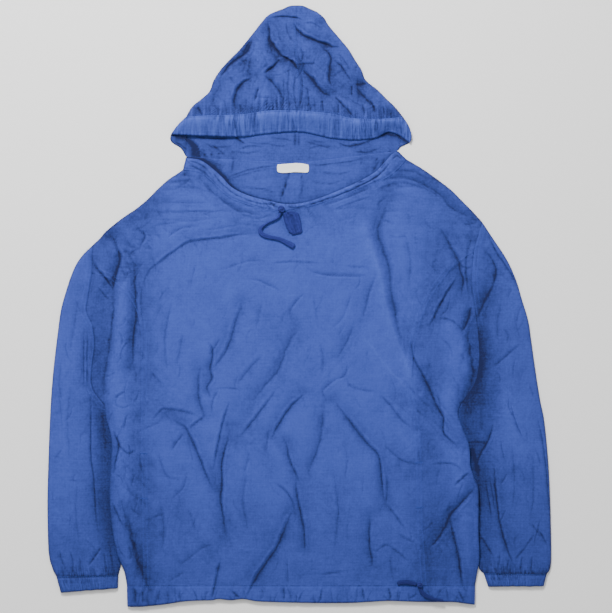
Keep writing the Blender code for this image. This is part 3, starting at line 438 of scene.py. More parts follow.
Fold = namedtuple("Fold", "path width rise")        # plan steps across, metres up
BODY_FOLDS = [
    Fold([(388, 200), (379, 230), (389, 270), (395, 310), (403, 350)], 17, -0.0034),
    Fold([(366, 232), (380, 275), (390, 320), (404, 360), (416, 396)], 15, 0.0030),
    Fold([(424, 372), (436, 405), (443, 425), (456, 446)], 14, -0.0028),
    Fold([(135, 268), (136, 310), (133, 345), (131, 368)], 13, -0.0034),
    Fold([(122, 292), (122, 330), (119, 370), (120, 410), (124, 450), (123, 500), (127, 545),
          (139, 584)], 20, 0.0036),
    Fold([(257, 232), (215, 238), (180, 248), (148, 274)], 14, -0.0016),
    Fold([(243, 303), (232, 332), (213, 368), (208, 392)], 15, -0.0026),
    Fold([(199, 372), (200, 400), (207, 418)], 15, -0.0020),
    Fold([(168, 418), (188, 432), (202, 460), (214, 488)], 15, -0.0026),
    Fold([(231, 428), (222, 462), (221, 500), (226, 538)], 16, -0.0028),
    Fold([(297, 330), (281, 362), (262, 392), (240, 437)], 20, -0.0022),
    Fold([(304, 395), (287, 411), (272, 437)], 15, -0.0026),
    Fold([(335, 402), (357, 430), (380, 460), (386, 507)], 16, -0.0028),
    Fold([(286, 443), (295, 475), (303, 515), (305, 550)], 15, -0.0028),
    Fold([(292, 512), (279, 545), (258, 578)], 18, -0.0028),
    Fold([(325, 405), (320, 440), (308, 475)], 20, -0.0018),
    Fold([(370, 518), (369, 545), (373, 568)], 15, -0.0024),
    Fold([(372, 290), (360, 325), (338, 358)], 18, -0.0016),
    Fold([(445, 240), (458, 262), (461, 296)], 18, -0.0022),
    Fold([(452, 330), (459, 370), (450, 400), (449, 430), (457, 462), (463, 500), (465, 550),
          (462, 584)], 20, 0.0032),
    Fold([(474, 486), (460, 505), (443, 530), (430, 550)], 18, -0.0030),
    Fold([(450, 516), (456, 548), (464, 584)], 14, -0.0022),
    Fold([(127, 512), (133, 548), (150, 584)], 15, -0.0026),
    Fold([(392, 181), (425, 186), (452, 208), (476, 222)], 14, -0.0016),
    Fold([(112, 236), (125, 250), (118, 268), (113, 290)], 14, -0.0030),
    Fold([(101, 302), (101, 335), (98, 372), (101, 410), (104, 445), (104, 500), (108, 540),
          (116, 566)], 18, -0.0032),
    Fold([(490, 262), (494, 275), (486, 302), (476, 330), (480, 372), (468, 402), (474, 440),
          (483, 480), (487, 520), (486, 560)], 20, -0.0034),
    Fold([(496, 395), (494, 415), (488, 445)], 15, -0.0018),
    Fold([(501, 500), (505, 535), (515, 568)], 15, -0.0022),
    Fold([(505, 400), (513, 425), (520, 460)], 22, 0.0018),
    Fold([(84, 345), (86, 400), (92, 470), (95, 530)], 14, -0.0012),
    Fold([(68, 330), (64, 420), (66, 520)], 34, 0.0014),
]

# A crease: plan path, plan steps across, millimetres deep (negative stands up), and its ridge as a
# share of that: + to the left of the path, - to the right, 0 for none.
Crease = namedtuple("Crease", "path width depth lean")
BODY_CREASES = [Crease(*row) for row in (
    # left shoulder and chest
    ([(108, 233), (114, 240), (118, 246)], 3.0, 1.4, .5),
    ([(92, 259), (97, 268), (102, 274), (109, 283), (113.5, 290)], 3.4, 2.4, .5),
    ([(98, 287), (105, 296), (110, 300)], 3.0, 1.1, .5),
    ([(208, 179), (214.7, 182.5), (222.7, 190.4), (234.6, 198.4), (250.5, 204.3), (270, 209.5)],
     2.6, 1.3, .5),
    ([(202, 180), (205, 183), (212.7, 192.4), (226.6, 203.4), (245, 211.5)], 2.6, 1.2, -.5),
    ([(228.6, 194.4), (244.5, 203.3), (262.4, 208.3)], 2.2, 1.0, .4),
    ([(191, 178), (186, 183), (176, 189)], 2.4, 1.2, .4),
    ([(184, 166), (186, 172), (183, 178)], 3.0, 2.0, 0),
    ([(196, 172), (204, 184), (214, 197)], 2.4, .9, -.4),
    ([(320, 207), (338, 201), (356, 194), (372, 187)], 2.4, 1.2, -.5),
    ([(330, 211), (352, 203), (372, 196)], 2.4, .9, .5),
    ([(376, 190), (392, 185), (404, 187)], 2.4, 1.0, .4),
    ([(386, 198), (378, 204), (380, 212)], 2.6, 1.0, -.4),
    ([(300, 208), (292, 214), (286, 222)], 2.4, 1.4, .5),
    ([(303, 206), (311, 212), (316, 220)], 2.2, .9, -.4),
    ([(272, 214), (262, 218), (250, 219)], 2.2, .9, .4),
    ([(113, 284), (113.5, 306), (112.5, 321), (111, 335), (109, 349), (106.5, 364), (104, 378),
      (103.5, 400)], 10.0, 1.6, .3),
    ([(116, 244), (119, 253), (120, 261), (117, 270), (114.5, 280), (113, 291)], 4.6, 4.2, .5),
    ([(120, 265), (127, 280)], 2.4, .9, .5),
    ([(125, 262), (133, 274)], 2.4, .9, .5),
    ([(130, 257), (138, 268)], 2.4, .8, .5),
    ([(122, 251), (136, 255)], 2.6, 1.0, -.5),
    ([(124, 244), (138, 249)], 2.6, 1.0, -.5),
    ([(469, 328), (468, 340), (471, 360), (473, 372), (470, 387), (464, 401)], 9.0, 2.0, -.4),
    ([(471, 306), (469, 316), (465, 326), (461, 331)], 5.0, 3.6, .3),
    ([(257, 232), (220, 238), (190, 242), (175, 251), (160, 262), (150, 270), (143, 281)], 3.0, 1.7, -.7),
    ([(200, 226), (180, 229), (166, 239)], 3.0, 1.0, .5),
    ([(242, 224), (222, 228), (203, 231)], 2.6, .8, .4),
    ([(150, 201), (180, 203), (212, 203)], 2.6, .8, -.4),
    ([(138, 211), (180, 212), (232, 211)], 2.6, .9, .4),
    ([(150, 227), (165, 224), (182, 222)], 2.6, .7, .4),
    ([(152, 219), (190, 221), (222, 217)], 2.6, .6, -.3),
    ([(160, 190), (190, 187), (208, 192)], 2.6, .7, .3),
    ([(166, 184), (185, 181), (196, 184)], 2.6, .8, -.3),
    ([(134, 227), (145, 235), (141, 245), (139, 252)], 3.4, 1.7, .5),
    ([(218, 196), (226, 204), (240, 211), (262, 215)], 3.0, 1.0, -.4),
    ([(228, 206), (246, 216), (258, 217)], 2.6, .7, .4),
    ([(135, 262), (135, 285), (136, 300), (136, 320), (133, 340), (133, 360), (130, 369)], 4.6, 2.2, .6),
    ([(143, 281), (141, 300), (143, 322)], 3.0, .9, -.4),
    ([(172, 300), (166, 330), (165, 350), (168, 373)], 5.0, .9, .4),
    ([(183, 333), (180, 350), (176, 367)], 4.4, .8, -.4),
    ([(151, 372), (162, 384)], 3.4, 1.0, .5),
    # left of the middle, down to the hem
    ([(208, 340), (213, 352), (210, 370), (212, 378), (207, 388), (212, 399)], 3.8, 2.4, .6),
    ([(220, 338), (215, 347), (209, 356)], 3.0, 1.2, .4),
    ([(243, 301), (237, 318), (233, 330), (230, 342), (222, 357), (211, 371)], 4.2, 1.7, -.6),
    ([(200, 368), (198, 385), (199, 400), (203, 412), (207, 418)], 5.2, 1.7, .4),
    ([(219, 390), (213, 400), (212, 414)], 3.4, 1.2, .5),
    ([(212, 389), (228, 388), (242, 390)], 2.6, .7, .3),
    ([(114, 398), (126, 391)], 3.0, 1.1, .4),
    ([(127, 414), (124, 431)], 3.2, 1.2, -.4),
    ([(113, 431), (119, 445), (116, 460), (114, 474)], 4.0, 2.0, .5),
    ([(118, 444), (128, 453), (137, 449)], 3.0, 1.2, .5),
    ([(135, 474), (131, 487)], 3.0, 1.1, .4),
    ([(112, 502), (118, 515), (124, 527)], 3.4, 1.4, .5),
    ([(126, 508), (129, 527), (133, 543), (138, 560), (145, 577), (153, 598)], 12.0, 1.5, .3),
    ([(128, 512), (131, 530), (135, 546), (140, 560)], 3.0, .9, .4),
    ([(152, 421), (162, 410), (175, 410), (190, 413), (202, 418)], 3.4, 1.3, .5),
    ([(144, 429), (160, 422)], 3.0, .9, -.4),
    ([(172, 419), (182, 425), (187, 430), (192, 440), (200, 458), (206, 474), (214, 490)], 3.4, 2.6, .6),
    ([(184, 433), (177, 442), (171, 451)], 3.2, 1.5, .4),
    ([(205, 416), (197, 422), (189, 428)], 3.0, 1.5, -.4),
    ([(158, 452), (163, 467), (168, 477), (181, 479)], 2.6, .9, .4),
    ([(187, 474), (183, 488), (171, 499)], 2.8, .9, .4),
    ([(142, 521), (155, 517), (166, 512)], 2.8, .8, .3),
    ([(230, 400), (225, 415), (221, 430), (217, 450), (213, 470)], 3.2, 2.0, -.6),
    ([(231, 428), (226, 445), (222, 462), (222, 480), (221, 500), (223, 515), (226, 537)], 3.8, 3.0, .6),
    ([(216, 545), (205, 546), (195, 553), (179, 566)], 4.4, 1.0, .3),
    ([(186, 571), (167, 582)], 3.0, .8, .3),
    ([(221, 558), (218, 570), (215, 585), (211.5, 600)], 4.0, 1.9, -.4),
    # middle
    ([(218, 271), (235, 265), (250, 261), (267, 261)], 2.8, .8, -.4),
    ([(270, 264), (290, 262), (322, 263)], 2.8, .9, .3),
    ([(303, 267), (320, 274), (345, 276), (372, 276)], 3.0, 1.2, -.5),
    ([(343, 266), (370, 268)], 2.6, .7, .3),
    ([(248, 278), (265, 283), (282, 292)], 3.0, 1.0, -.4),
    ([(304, 293), (295, 303), (290, 312), (293, 324)], 3.2, 1.1, .4),
    ([(298, 328), (288, 345), (282, 360), (277, 372), (265, 385), (252, 402)], 5.6, 1.3, .5),
    ([(263, 355), (250, 368), (237, 384)], 5.0, 1.0, -.4),
    ([(377, 273), (370, 290), (366, 305), (361, 322)], 4.6, 1.1, .5),
    ([(354, 326), (345, 345), (336, 360)], 4.6, 1.0, .4),
    ([(320, 344), (323, 360), (322, 377)], 4.2, 1.0, -.4),
    ([(347, 361), (345, 375), (335, 380), (323, 390), (325, 398), (327, 404)], 3.4, 1.2, .4),
    ([(344, 374), (352, 387), (377, 392)], 3.0, .9, .3),
    ([(334, 400), (345, 415), (355, 428), (367, 443), (378, 455), (381, 475), (383, 495), (387, 510)],
     3.6, 2.6, .6),
    ([(386, 474), (387, 490), (386, 505)], 2.8, 1.3, -.5),
    ([(379, 394), (390, 405), (400, 418), (412, 428)], 3.6, 1.2, .4),
    ([(305, 394), (295, 402), (288, 410), (280, 422), (271, 439)], 3.4, 2.5, -.6),
    ([(276, 390), (265, 405), (255, 418), (239, 438)], 3.8, 1.7, -.5),
    ([(286, 441), (289, 458), (294, 470), (299, 482)], 3.2, 2.3, .6),
    ([(295, 478), (298, 500), (301, 515), (304, 530), (305, 552)], 3.6, 2.8, .6),
    ([(274, 482), (285, 490), (292, 500), (296, 516)], 3.0, 1.6, .5),
    ([(293, 510), (286, 525), (278, 545), (268, 560), (258, 575), (251, 587), (246, 598)], 4.8, 2.8, -.6),
    ([(325, 403), (322, 425), (320, 440), (313, 460), (307, 477)], 6.0, 1.3, .4),
    ([(269, 429), (265, 456)], 3.4, 1.0, .4),
    ([(370, 516), (369, 535), (370, 550), (373, 567)], 3.6, 2.4, .6),
    ([(386, 503), (395, 515), (406, 530)], 3.2, 1.3, .4),
    ([(398, 534), (417, 544)], 3.0, .9, .3),
    ([(374, 553), (385, 545), (395, 550), (411, 563)], 3.0, 1.1, .4),
    ([(390, 554), (391, 568), (394, 581)], 3.0, .9, -.3),
    ([(287, 558), (288, 584)], 3.4, 1.0, .4),
    ([(318, 574), (346, 571)], 2.8, .8, .3),
    ([(330, 212), (352, 207), (372, 209)], 2.6, .6, .3),
    ([(335, 222), (360, 216)], 2.6, .5, -.3),
    # right shoulder and the long bulge down to the seam
    ([(388, 199), (383, 215), (378, 230), (383, 250), (389, 270), (391, 290), (395, 310), (398, 330),
      (402, 346)], 8.0, 1.8, .5),
    ([(411, 338), (413, 357), (420, 370), (430, 390), (435, 403), (443, 418), (443, 432), (450, 440),
      (459, 448)], 3.6, 2.8, .6),
    ([(365, 228), (372, 250), (378, 268), (383, 290), (388, 315), (395, 335), (402, 355), (410, 375),
      (416, 397)], 10.0, -.5, 0),
    ([(355, 328), (370, 345), (385, 365), (400, 382), (413, 401)], 9.0, -.5, 0),
    ([(374, 181), (400, 178), (420, 183), (440, 195), (450, 207), (465, 215), (481, 222)], 3.6, 1.5, -.6),
    ([(380, 187), (402, 183), (428, 190), (446, 203)], 3.0, .9, .4),
    ([(392, 171), (410, 171), (428, 178)], 3.0, 1.0, .4),
    ([(462, 225), (476, 223)], 3.0, 1.1, .4),
    ([(473, 234), (467, 252), (466, 274), (469, 298)], 2.6, 1.3, -.5),
    ([(440, 228), (447, 240), (453, 250)], 2.6, 1.1, .5),
    ([(449, 300), (447, 309), (440, 316)], 2.6, 1.0, .4),
    ([(455, 262), (466, 268), (474, 266)], 2.6, .9, .4),
    ([(445, 238), (452, 250), (458, 260), (460, 270), (463, 280), (461, 297)], 5.0, 2.2, .5),
    ([(456, 278), (447, 293), (440, 305), (435, 315), (429, 327)], 3.4, 2.2, -.5),
    ([(436, 318), (450, 320), (457, 325), (464, 332)], 3.0, 1.3, .5),
    ([(430, 464), (445, 463), (455, 465), (463, 471)], 3.0, 1.1, .4),
    ([(384, 444), (398, 458), (410, 463), (421, 465)], 3.2, 1.0, .4),
    ([(476, 485), (470, 493), (462, 502), (450, 515), (443, 530), (429, 550)], 5.0, 2.8, .6),
    ([(470, 471), (460, 480), (454, 486)], 3.4, 1.9, -.4),
    ([(449, 513), (452, 530), (457, 550), (460, 568), (462, 582), (466, 592)], 3.8, 2.6, .6),
    ([(404, 232), (410, 262), (408, 292)], 5.0, .8, .4),
    ([(352, 292), (342, 318), (330, 330)], 4.4, .7, .4),
    ([(247, 470), (243, 500), (248, 532)], 5.0, .8, .4),
    ([(333, 470), (338, 508), (335, 548)], 5.0, .9, -.4),
    ([(160, 500), (164, 530), (160, 556)], 4.6, .8, .4),
    ([(188, 508), (196, 530)], 4.0, .7, .3),
    ([(250, 452), (243, 476)], 3.4, .8, .4),
    ([(349, 455), (344, 480)], 3.6, .8, .4),
    ([(196, 262), (190, 290)], 4.0, .6, .3),
    ([(262, 300), (256, 330)], 4.4, .7, .3),
    ([(313, 296), (318, 322)], 4.0, .6, -.3),
)]


def nearest(xy, line):
    """Signed distance from points to a polyline, + on its left, and the share of it run there."""
    start, step = line[:-1], np.diff(line, axis=0)
    size = (step ** 2).sum(1)
    from_start = xy[:, None] - start
    t = np.clip((from_start * step).sum(-1) / np.maximum(size, 1e-18), 0, 1)
    gap = from_start - t[..., None] * step
    best = (gap ** 2).sum(-1).argmin(1)
    pick = np.arange(len(xy))
    gap, t = gap[pick, best], t[pick, best]
    side = step[best, 0] * from_start[pick, best, 1] - step[best, 1] * from_start[pick, best, 0]
    run = lengths(line)
    share = (run[best] + t * np.sqrt(size[best])) / run[-1]
    return np.linalg.norm(gap, axis=1) * np.where(side < 0, -1, 1), share


def distance(xy, line, reach=None):
    """Distance from points to a polyline, or the reach where it is further than that."""
    points = xy.reshape(-1, 2)
    result = np.full(len(points), 9.0 if reach is None else reach)
    near = np.ones(len(points), bool)
    if reach is not None:
        near = ((points > line.min(0) - reach) & (points < line.max(0) + reach)).all(1)
    for part in np.array_split(np.flatnonzero(near), 1 + near.sum() * len(line) // 4000000):
        if len(part):
            result[part] = np.minimum(np.abs(nearest(points[part], line)[0]), result[part])
    return result.reshape(xy.shape[:-1])


def ease(t):
    """Smooth step from 0 to 1."""
    t = np.clip(t, 0, 1)
    return t * t * (3 - 2 * t)


def roll(away, width=EDGE_ROLL):
    """Quarter circle: 0 on the edge and 1 from the given width inwards."""
    return np.sqrt(1 - (1 - np.clip(away / width, 0, 1)) ** 2)


def folded(xy, folds):
    """Sum of the lay's large folds, each a bell across its path."""
    total = np.zeros(xy.shape[:-1])
    for fold in folds:
        half = fold.width * STEP / 2
        away = distance(xy, smooth(fold.path, 4), 2.6 * half)
        total += fold.rise * np.exp(-(away / half) ** 2)
    return total


def creased(xy, creases, dark=1.0):
    """Height and tone of the pressed creases.

    Across each runs a soft trough exp(-q^2) with a sharp line in it, and a lower ridge beside it.
    Away from the ridge the trough is drawn out wider. Its width wanders, and it fades at its ends.
    Its tone is painted shade in the trough and on its line, and painted highlight on the ridge.
    """
    points = xy.reshape(-1, 2)
    height, tone = np.zeros((2, len(points)))
    for number, crease in enumerate(creases):
        line = smooth(crease.path, 5)
        width = crease.width * STEP / 2
        reach = 4.6 * width
        near = ((points > line.min(0) - reach) & (points < line.max(0) + reach)).all(1)
        if not near.any():
            continue
        spots = points[near]
        wander = 0.30 * width * noise(spots[:, 0] * 90, spots[:, 1] * 90, number)
        away, share = nearest(spots, line)
        fade = np.clip(np.minimum(share, 1 - share) * 4, 0, 1) ** 0.9
        uneven = 1 + 0.40 * noise(share * 6 + number, share * 0, number)
        lean = np.sign(crease.lean)
        q = (away + wander) / (width * (0.5 + 0.5 * fade) * uneven)
        q = q * np.where(q * lean > 0, 1.4, 0.72)
        sharp = np.exp(-np.abs((away + wander) / (0.00050 + 0.17 * width)) ** 1.6)
        ridge = np.exp(-((q - 2.1 * lean) / 0.8) ** 2) * abs(crease.lean)
        size = crease.depth * fade * uneven
        height[near] += 0.001 * size * (0.6 * ridge - 0.6 * np.exp(-q ** 2) - 0.35 * sharp)
        tone[near] += dark * size * (0.12 * ridge - 0.19 * np.exp(-np.abs(q) ** 1.4) - 0.42 * sharp)
    return height.reshape(xy.shape[:-1]), tone.reshape(xy.shape[:-1])


def scattered(count, corner, size, seed, depth, slant=0.35):
    """Small creases by formula: starts on a golden-ratio lattice, slanted off the lengthwise grain."""
    rank = np.arange(count) + 0.5
    right = corner[0] + size[0] * (rank / count)
    down = corner[1] + size[1] * ((rank * 0.6180340 + seed * 0.37) % 1)
    turn = slant * 3.1 * noise(rank * 0.73, rank * 0 + seed, 201) + slant * np.sin(rank * 2.4)
    reach = 9 + 9 * np.abs(noise(rank * 0.41, rank * 0 + seed, 202)) + 5 * (rank % 3)
    bend = 3.0 * np.sin(rank * 1.7 + seed)
    rows = []
    for k in range(count):
        step = np.array([np.sin(turn[k]), np.cos(turn[k])])
        path = [(right[k], down[k]) + step * reach[k] * t + bend[k] * 4 * t * (1 - t) * step[::-1] * (-1, 1)
                for t in (0, 0.35, 0.7, 1)]
        rows.append(Crease(path, 1.9 + 0.9 * (k % 3 == 0), depth * (0.6 + 0.4 * np.sin(k * 2.9) ** 2),
                           (-0.5, 0.5)[k % 2]))
    return rows


def valleys(x, y, seed, width):
    """Narrow lines where gradient noise crosses 0."""
    return np.exp(-(np.abs(noise(x, y, seed)) / width) ** 1.3)


def rippled(xy, turn, seed):
    """Long fine valleys that all run one way, in patches: noise drawn out along that way."""
    run = np.cos(turn) * xy[..., 0] + np.sin(turn) * xy[..., 1]
    across = np.cos(turn) * xy[..., 1] - np.sin(turn) * xy[..., 0]
    across = across + 0.004 * noise(run * 22, across * 16, seed)
    shown = np.clip(0.4 + 1.0 * noise(run * 9, across * 12, seed + 1), 0, 1)
    return shown * (valleys(run * 11, across * 56, seed + 2, 0.12)
                    + 0.6 * valleys(run * 24, across * 115, seed + 3, 0.16))


def crumpled(xy, size=1.0, level=1.0, upright=1.0, slanted=1.0):
    """Height and tone of the washed-in crinkle: soft swells, a faint net and fine ripples.

    The ripples run level, upright and slanted both ways, each with a strength of its own. The
    tone is painted shade in the net and the ripples, and painted highlight on the swells.
    """
    x, y = xy[..., 0], xy[..., 1]
    bend = 0.010 * noise(x * 26, y * 20, 31)
    x, y = x + bend, y + 0.010 * noise(x * 24, y * 19, 32)
    swell = 0.7 * noise(x * 24, y * 17, 33) + 0.5 * noise(x * 52, y * 38, 34)
    strength = np.clip(0.35 + 1.1 * noise(x * 10, y * 8, 35), 0.05, 1.3)
    net = valleys(x * 34, y * 18, 36, 0.08) * strength
    ways = (level * rippled(xy, 0.08, 301) + upright * rippled(xy, 1.35, 311)
            + slanted * (rippled(xy, -0.80, 321) + 0.7 * rippled(xy, 0.75, 331)))
    height = 0.00080 * swell - 0.00040 * net - 0.00026 * ways
    return size * height, size * (0.15 * swell - 0.14 * net - 0.17 * ways + 0.05)


def crowding(xy):
    """How near to a seam that draws the cloth in: 1 on it, fading inwards."""
    seams = [CASING_SEAM, *OUTLINES] + [line for cut in CUTS.values() for line in cut[:2]]
    return np.exp(-np.min([distance(xy, line, 0.09) for line in seams], axis=0) / 0.030)


def from_hem_tie(xy):
    """Distance to the two tape ends on the hem, up to 20 mm."""
    return distance(xy, smooth(HEM_LEFT_ROUTE[::-1] + HEM_RIGHT_ROUTE, 3), 0.02)


def lay(xy, creases, crumple=1.0, dark=1.0):
    """Upper layer before its edges roll down, and its tone: below 0 in a crease, above on a ridge.

    The crinkle is stronger along the seams, which draw the cloth in. It runs level at the
    shoulders, and its height dies out under the tapes. The tone is painted shade in the creases,
    painted highlight on their ridges, and painted light and shade over the large folds. It is
    lower at the seams, and painted shade darkens it towards the hem and towards both sides, where
    the light falls off.
    """
    by_tie = np.minimum(distance(xy, smooth(NECK_ROUTE + BOW_RIGHT[::-1], 3), 0.02), from_hem_tie(xy))
    loose = ease(by_tie / 0.016 - 0.25)
    crowded = crowding(xy)
    high_up = ease((xy[..., 1] - 0.085) / 0.06)
    pressed = creased(xy, creases, dark)
    washed = crumpled(xy, crumple * (0.7 + 1.1 * crowded), 0.25 + 1.1 * high_up, 0.7 - 0.3 * high_up, 1.0)
    large = folded(xy, BODY_FOLDS)
    height = np.maximum(LOFT + large + (pressed[0] + washed[0]) * loose, PAIR + SEAM)
    near_hem = ease((-xy[..., 1] - 0.20) / 0.22)
    near_side = ease((np.abs(xy[..., 0] + 0.02) - 0.19) / 0.04)
    falloff_shade = 0.30 * near_hem + 0.22 * near_side
    return height, pressed[1] + washed[1] + large / 0.012 - falloff_shade - 0.22 * crowded + 0.08


def patch(left, right, bottom, top):
    """Coons patch: rows of plan points between four sampled edges that share their corners."""
    def share(one, other):
        return (lengths(one) / lengths(one)[-1] + lengths(other) / lengths(other)[-1]) / 2

    v, u = share(left, right)[:, None, None], share(bottom, top)[None, :, None]
    corners = ((1 - u) * (1 - v) * bottom[0] + u * (1 - v) * bottom[-1]
               + (1 - u) * v * top[0] + u * v * top[-1])
    return (1 - v) * bottom + v * top + (1 - u) * left[:, None] + u * right[:, None] - corners


def felled(away, strip=1.0, dark=1.0):
    """A felled seam: a fine groove on its line and a raised strip 9 mm wide with two stitched rows.

    The tone is painted shade in the groove and pale on the two rows.
    """
    raised_strip = 0.0004 * ease(away / 0.002) * (1 - ease((away - 0.008) / 0.003))
    near, far = [np.exp(-((away - row) / 0.0010) ** 2) for row in SEAM_ROWS]
    rows = near + 0.8 * far
    groove = np.exp(-(away / 0.0011) ** 2)
    return strip * raised_strip - 0.0006 * dark * groove, strip * 0.34 * rows - 0.6 * dark * groove


def with_rim(grid, depth=CLOTH):
    """The same grid with one more row and column all round, turned down by the cloth's depth."""
    wide = np.pad(grid, ((1, 1), (1, 1), (0, 0)), mode="edge")
    for edge in (wide[0], wide[-1], wide[:, 0], wide[:, -1]):
        edge[:, 2] -= depth
    return wide


def raised(xy, height):
    """Plan points with a height each."""
    return np.dstack([xy, np.broadcast_to(height, xy.shape[:-1])])


for patch_of_creases in (        # count, corner, size, seed, depth, slant
        (26, (112, 228), (42, 52), 8, 0.8, 1.0),
        (60, (150, 240), (270, 320), 1, 0.55, 0.35),
        (34, (100, 205), (330, 30), 2, 0.6, 0.9),
        (24, (425, 215), (45, 340), 3, 0.7, 0.35),
        (34, (113, 300), (28, 270), 4, 0.8, 0.6)):
    BODY_CREASES += scattered(*patch_of_creases)


def armhole_cut(side):
    """Armhole and princess seam of one side; the seam ends on the armhole."""
    armhole = smooth(ARMHOLE_LEFT if side == "left" else ARMHOLE_RIGHT)
    princess = smooth(PRINCESS_LEFT if side == "left" else PRINCESS_RIGHT)
    meet = along(armhole, [PRINCESS_AT])
    above = along(armhole, PRINCESS_AT * even(30))
    below = along(armhole, PRINCESS_AT + (1 - PRINCESS_AT) * even(120))
    return armhole, np.vstack([princess, meet]), above, below


OUTLINES = (smooth(SHOULDER_LEFT), smooth(SHOULDER_RIGHT))
CUTS = {side: armhole_cut(side) for side in ("left", "right")}
CASING_SEAM = np.vstack([smooth(CASING_SEAM_LEFT), smooth(CASING_SEAM_RIGHT)[1:]])


def front_height(xy):
    """The lay, rolled down at the two shoulders and let in at its seams."""
    height, relief = lay(xy, BODY_CREASES)
    away = np.minimum(distance(xy, OUTLINES[0], 0.02), distance(xy, OUTLINES[1], 0.02))
    for armhole, princess, above, below in CUTS.values():
        for seam, strip, dark in ((princess, 1, 0.06), (above, 0, 0.4)):
            groove = felled(distance(xy, seam, 0.014), strip, dark)
            height, relief = height + groove[0], relief + groove[1]
    groove = felled(distance(xy, CASING_SEAM, 0.014), 0.15, 0.3)
    height, relief = height + groove[0], relief + groove[1]
    # Painted shade along the rolled shoulder edges.
    edge_shade = 0.7 * np.exp(-(away / 0.0018) ** 2)
    return PAIR + (np.maximum(height, PAIR + SEAM) - PAIR) * roll(away), relief - edge_shade


def front_panel():
    """Coons patch from the hem seam to the shoulders and the neck casing."""
    rows, columns = even(330), even(268)
    left, right = [along(np.vstack([princess, above[::-1][1:]]), rows)
                   for armhole, princess, above, below in CUTS.values()]
    top = np.vstack([OUTLINES[0], CASING_SEAM[1:], OUTLINES[1][1:]])
    xy = patch(left, right, along(plan([(143, HEM_ROW), (427, HEM_ROW)]), columns), along(top, columns))
    height, relief = front_height(xy)
    return with_rim(raised(xy, height)), np.pad(relief, 1, mode="edge")


cotton_finish = cotton("cotton_blue", COTTON_BLUE)
front_grid, front_relief = front_panel()
front = surface("front_panel", front_grid, cotton_finish, ["front_body"], front_relief,
                crinkled=0.25 + 0.9 * crowding(front_grid[..., :2]))

# ------------------------------------------------------------ side panels
# One on each side, from the princess seam to the side edge, where the body bulges over the sleeve.
# Each pocket is an opening left in the princess seam, with a bar tack at both its ends.
SIDE_LIFT, SIDE_SLOPE = 0.0055, 0.0160   # rise over the sleeve, width over which the back climbs
PANEL_TIP = 0.996                # share of its length at which a panel's point is cut
BODY_EDGE_LEFT = [(127, 585), (124, 570), (118, 555), (113, 530), (110, 500), (111, 470),
                  (112, 440), (107, 420), (104, 404)]
BODY_EDGE_RIGHT = [(475, 585), (479, 558), (478, 530), (478, 490), (474, 478), (470, 465),
                   (469, 446), (463, 430), (458, 414), (462, 402)]
BODY_EDGES = {"left": smooth(BODY_EDGE_LEFT), "right": smooth(BODY_EDGE_RIGHT)}
UNDERARM_ROW = {"left": 404, "right": 402}


def side_lift(xy, side):
    """How high the body's side edge lies: over the sleeve, but flat at underarm and hem."""
    row = MIDDLE[1] - xy[..., 1] / STEP
    return SIDE_LIFT * ease((row - UNDERARM_ROW[side]) / 34) * (1 - ease((row - 548) / 30))


def side_height(xy, side):
    """The lay, rolled down at the side edge on to the lifted sleeve, grooved along both seams."""
    armhole, princess, above, below = CUTS[side]
    away = distance(xy, BODY_EDGES[side], 0.03)
    low = PAIR + side_lift(xy, side) * (1 - ease(away / (1.2 * SIDE_SLOPE)))
    height, relief = lay(xy, BODY_CREASES)
    for seam, dark in ((princess, 0.06), (below, 0.7 if side == "left" else 0.3)):
        groove = felled(distance(xy, seam, 0.01), 0, dark)
        height, relief = height + groove[0], relief + groove[1]
    # Painted shade along the rolled side edge.
    return low + (np.maximum(height, low) - low) * roll(away), relief - 0.5 * np.exp(-(away / 0.0016) ** 2)


def side_panel(side):
    """Coons patch from the hem to the point where the two seams meet."""
    armhole, princess, above, below = CUTS[side]
    rows, columns = PANEL_TIP * even(310), even(56)
    edges = [along(np.vstack([BODY_EDGES[side], below[::-1][1:]]), rows), along(princess, rows)]
    left, right = edges if side == "left" else edges[::-1]
    xy = patch(left, right, along(np.array([left[0], right[0]]), columns),
               along(np.array([left[-1], right[-1]]), columns))
    height, relief = side_height(xy, side)
    return with_rim(raised(xy, height)), np.pad(relief, 1, mode="edge")


for side in CUTS:
    side_grid, side_relief = side_panel(side)
    panel = surface("side_panel_cloth_" + side, side_grid, cotton_finish,
                    ["side_panel_" + side], side_relief, crinkled=0.25 + 0.9 * crowding(side_grid[..., :2]))

# ------------------------------------------------------------ back
# One panel, flat on the table. Its sides climb over the sleeves' inner folds, and below the neck
# seam it opens out of a box pleat; only the strip inside the neck is seen.
BACK_NECK = ((186, 157), (297, 163), (398, 151))
NECKLINE = [(186, 158), (200, 160), (212, 168), (222, 177), (233, 188), (250, 196), (270, 201),
            (285, 204), (302, 203), (320, 198), (340, 190), (360, 181), (375, 172), (384, 163),
            (391, 155), (397, 151)]
PLEAT = (0.0012, 0.0100, 0.2200)   # height, half width, length
PLEAT_START = 0.0180
BACK_CREASES = [Crease(*row) for row in (
    ([(289, 171), (286, 184), (280, 201)], 3.0, 2.2, .5),
    ([(300, 171), (302, 182), (299, 202)], 2.6, 1.3, -.5),
    ([(226, 178), (233, 175), (249, 170), (263, 167), (278, 165)], 2.0, 1.1, .5),
    ([(226, 181), (233, 178), (249, 173), (263, 170), (278, 168)], 1.8, .7, .5),
    ([(309, 165), (330, 164), (352, 161), (366, 157)], 2.0, 1.1, .5),
    ([(233, 160), (233, 176)], 2.2, 1.0, .4),
    ([(361, 156), (361, 166)], 2.2, .8, .4),
    ([(242, 187), (262, 189), (278, 194)], 2.6, .7, .4),
    ([(318, 172), (338, 174), (352, 171)], 2.6, .7, .4),
    ([(310, 182), (328, 184), (344, 180)], 2.6, .7, -.4),
    ([(376, 156), (377, 164), (372, 172)], 3.0, 1.3, .4),
    ([(384, 158), (381, 168)], 3.4, 1.6, .4),
    ([(198, 158), (208, 163), (222, 176), (233, 188)], 5.0, 1.4, 0),
    ([(208, 158), (224, 168)], 2.6, .8, .3),
)]


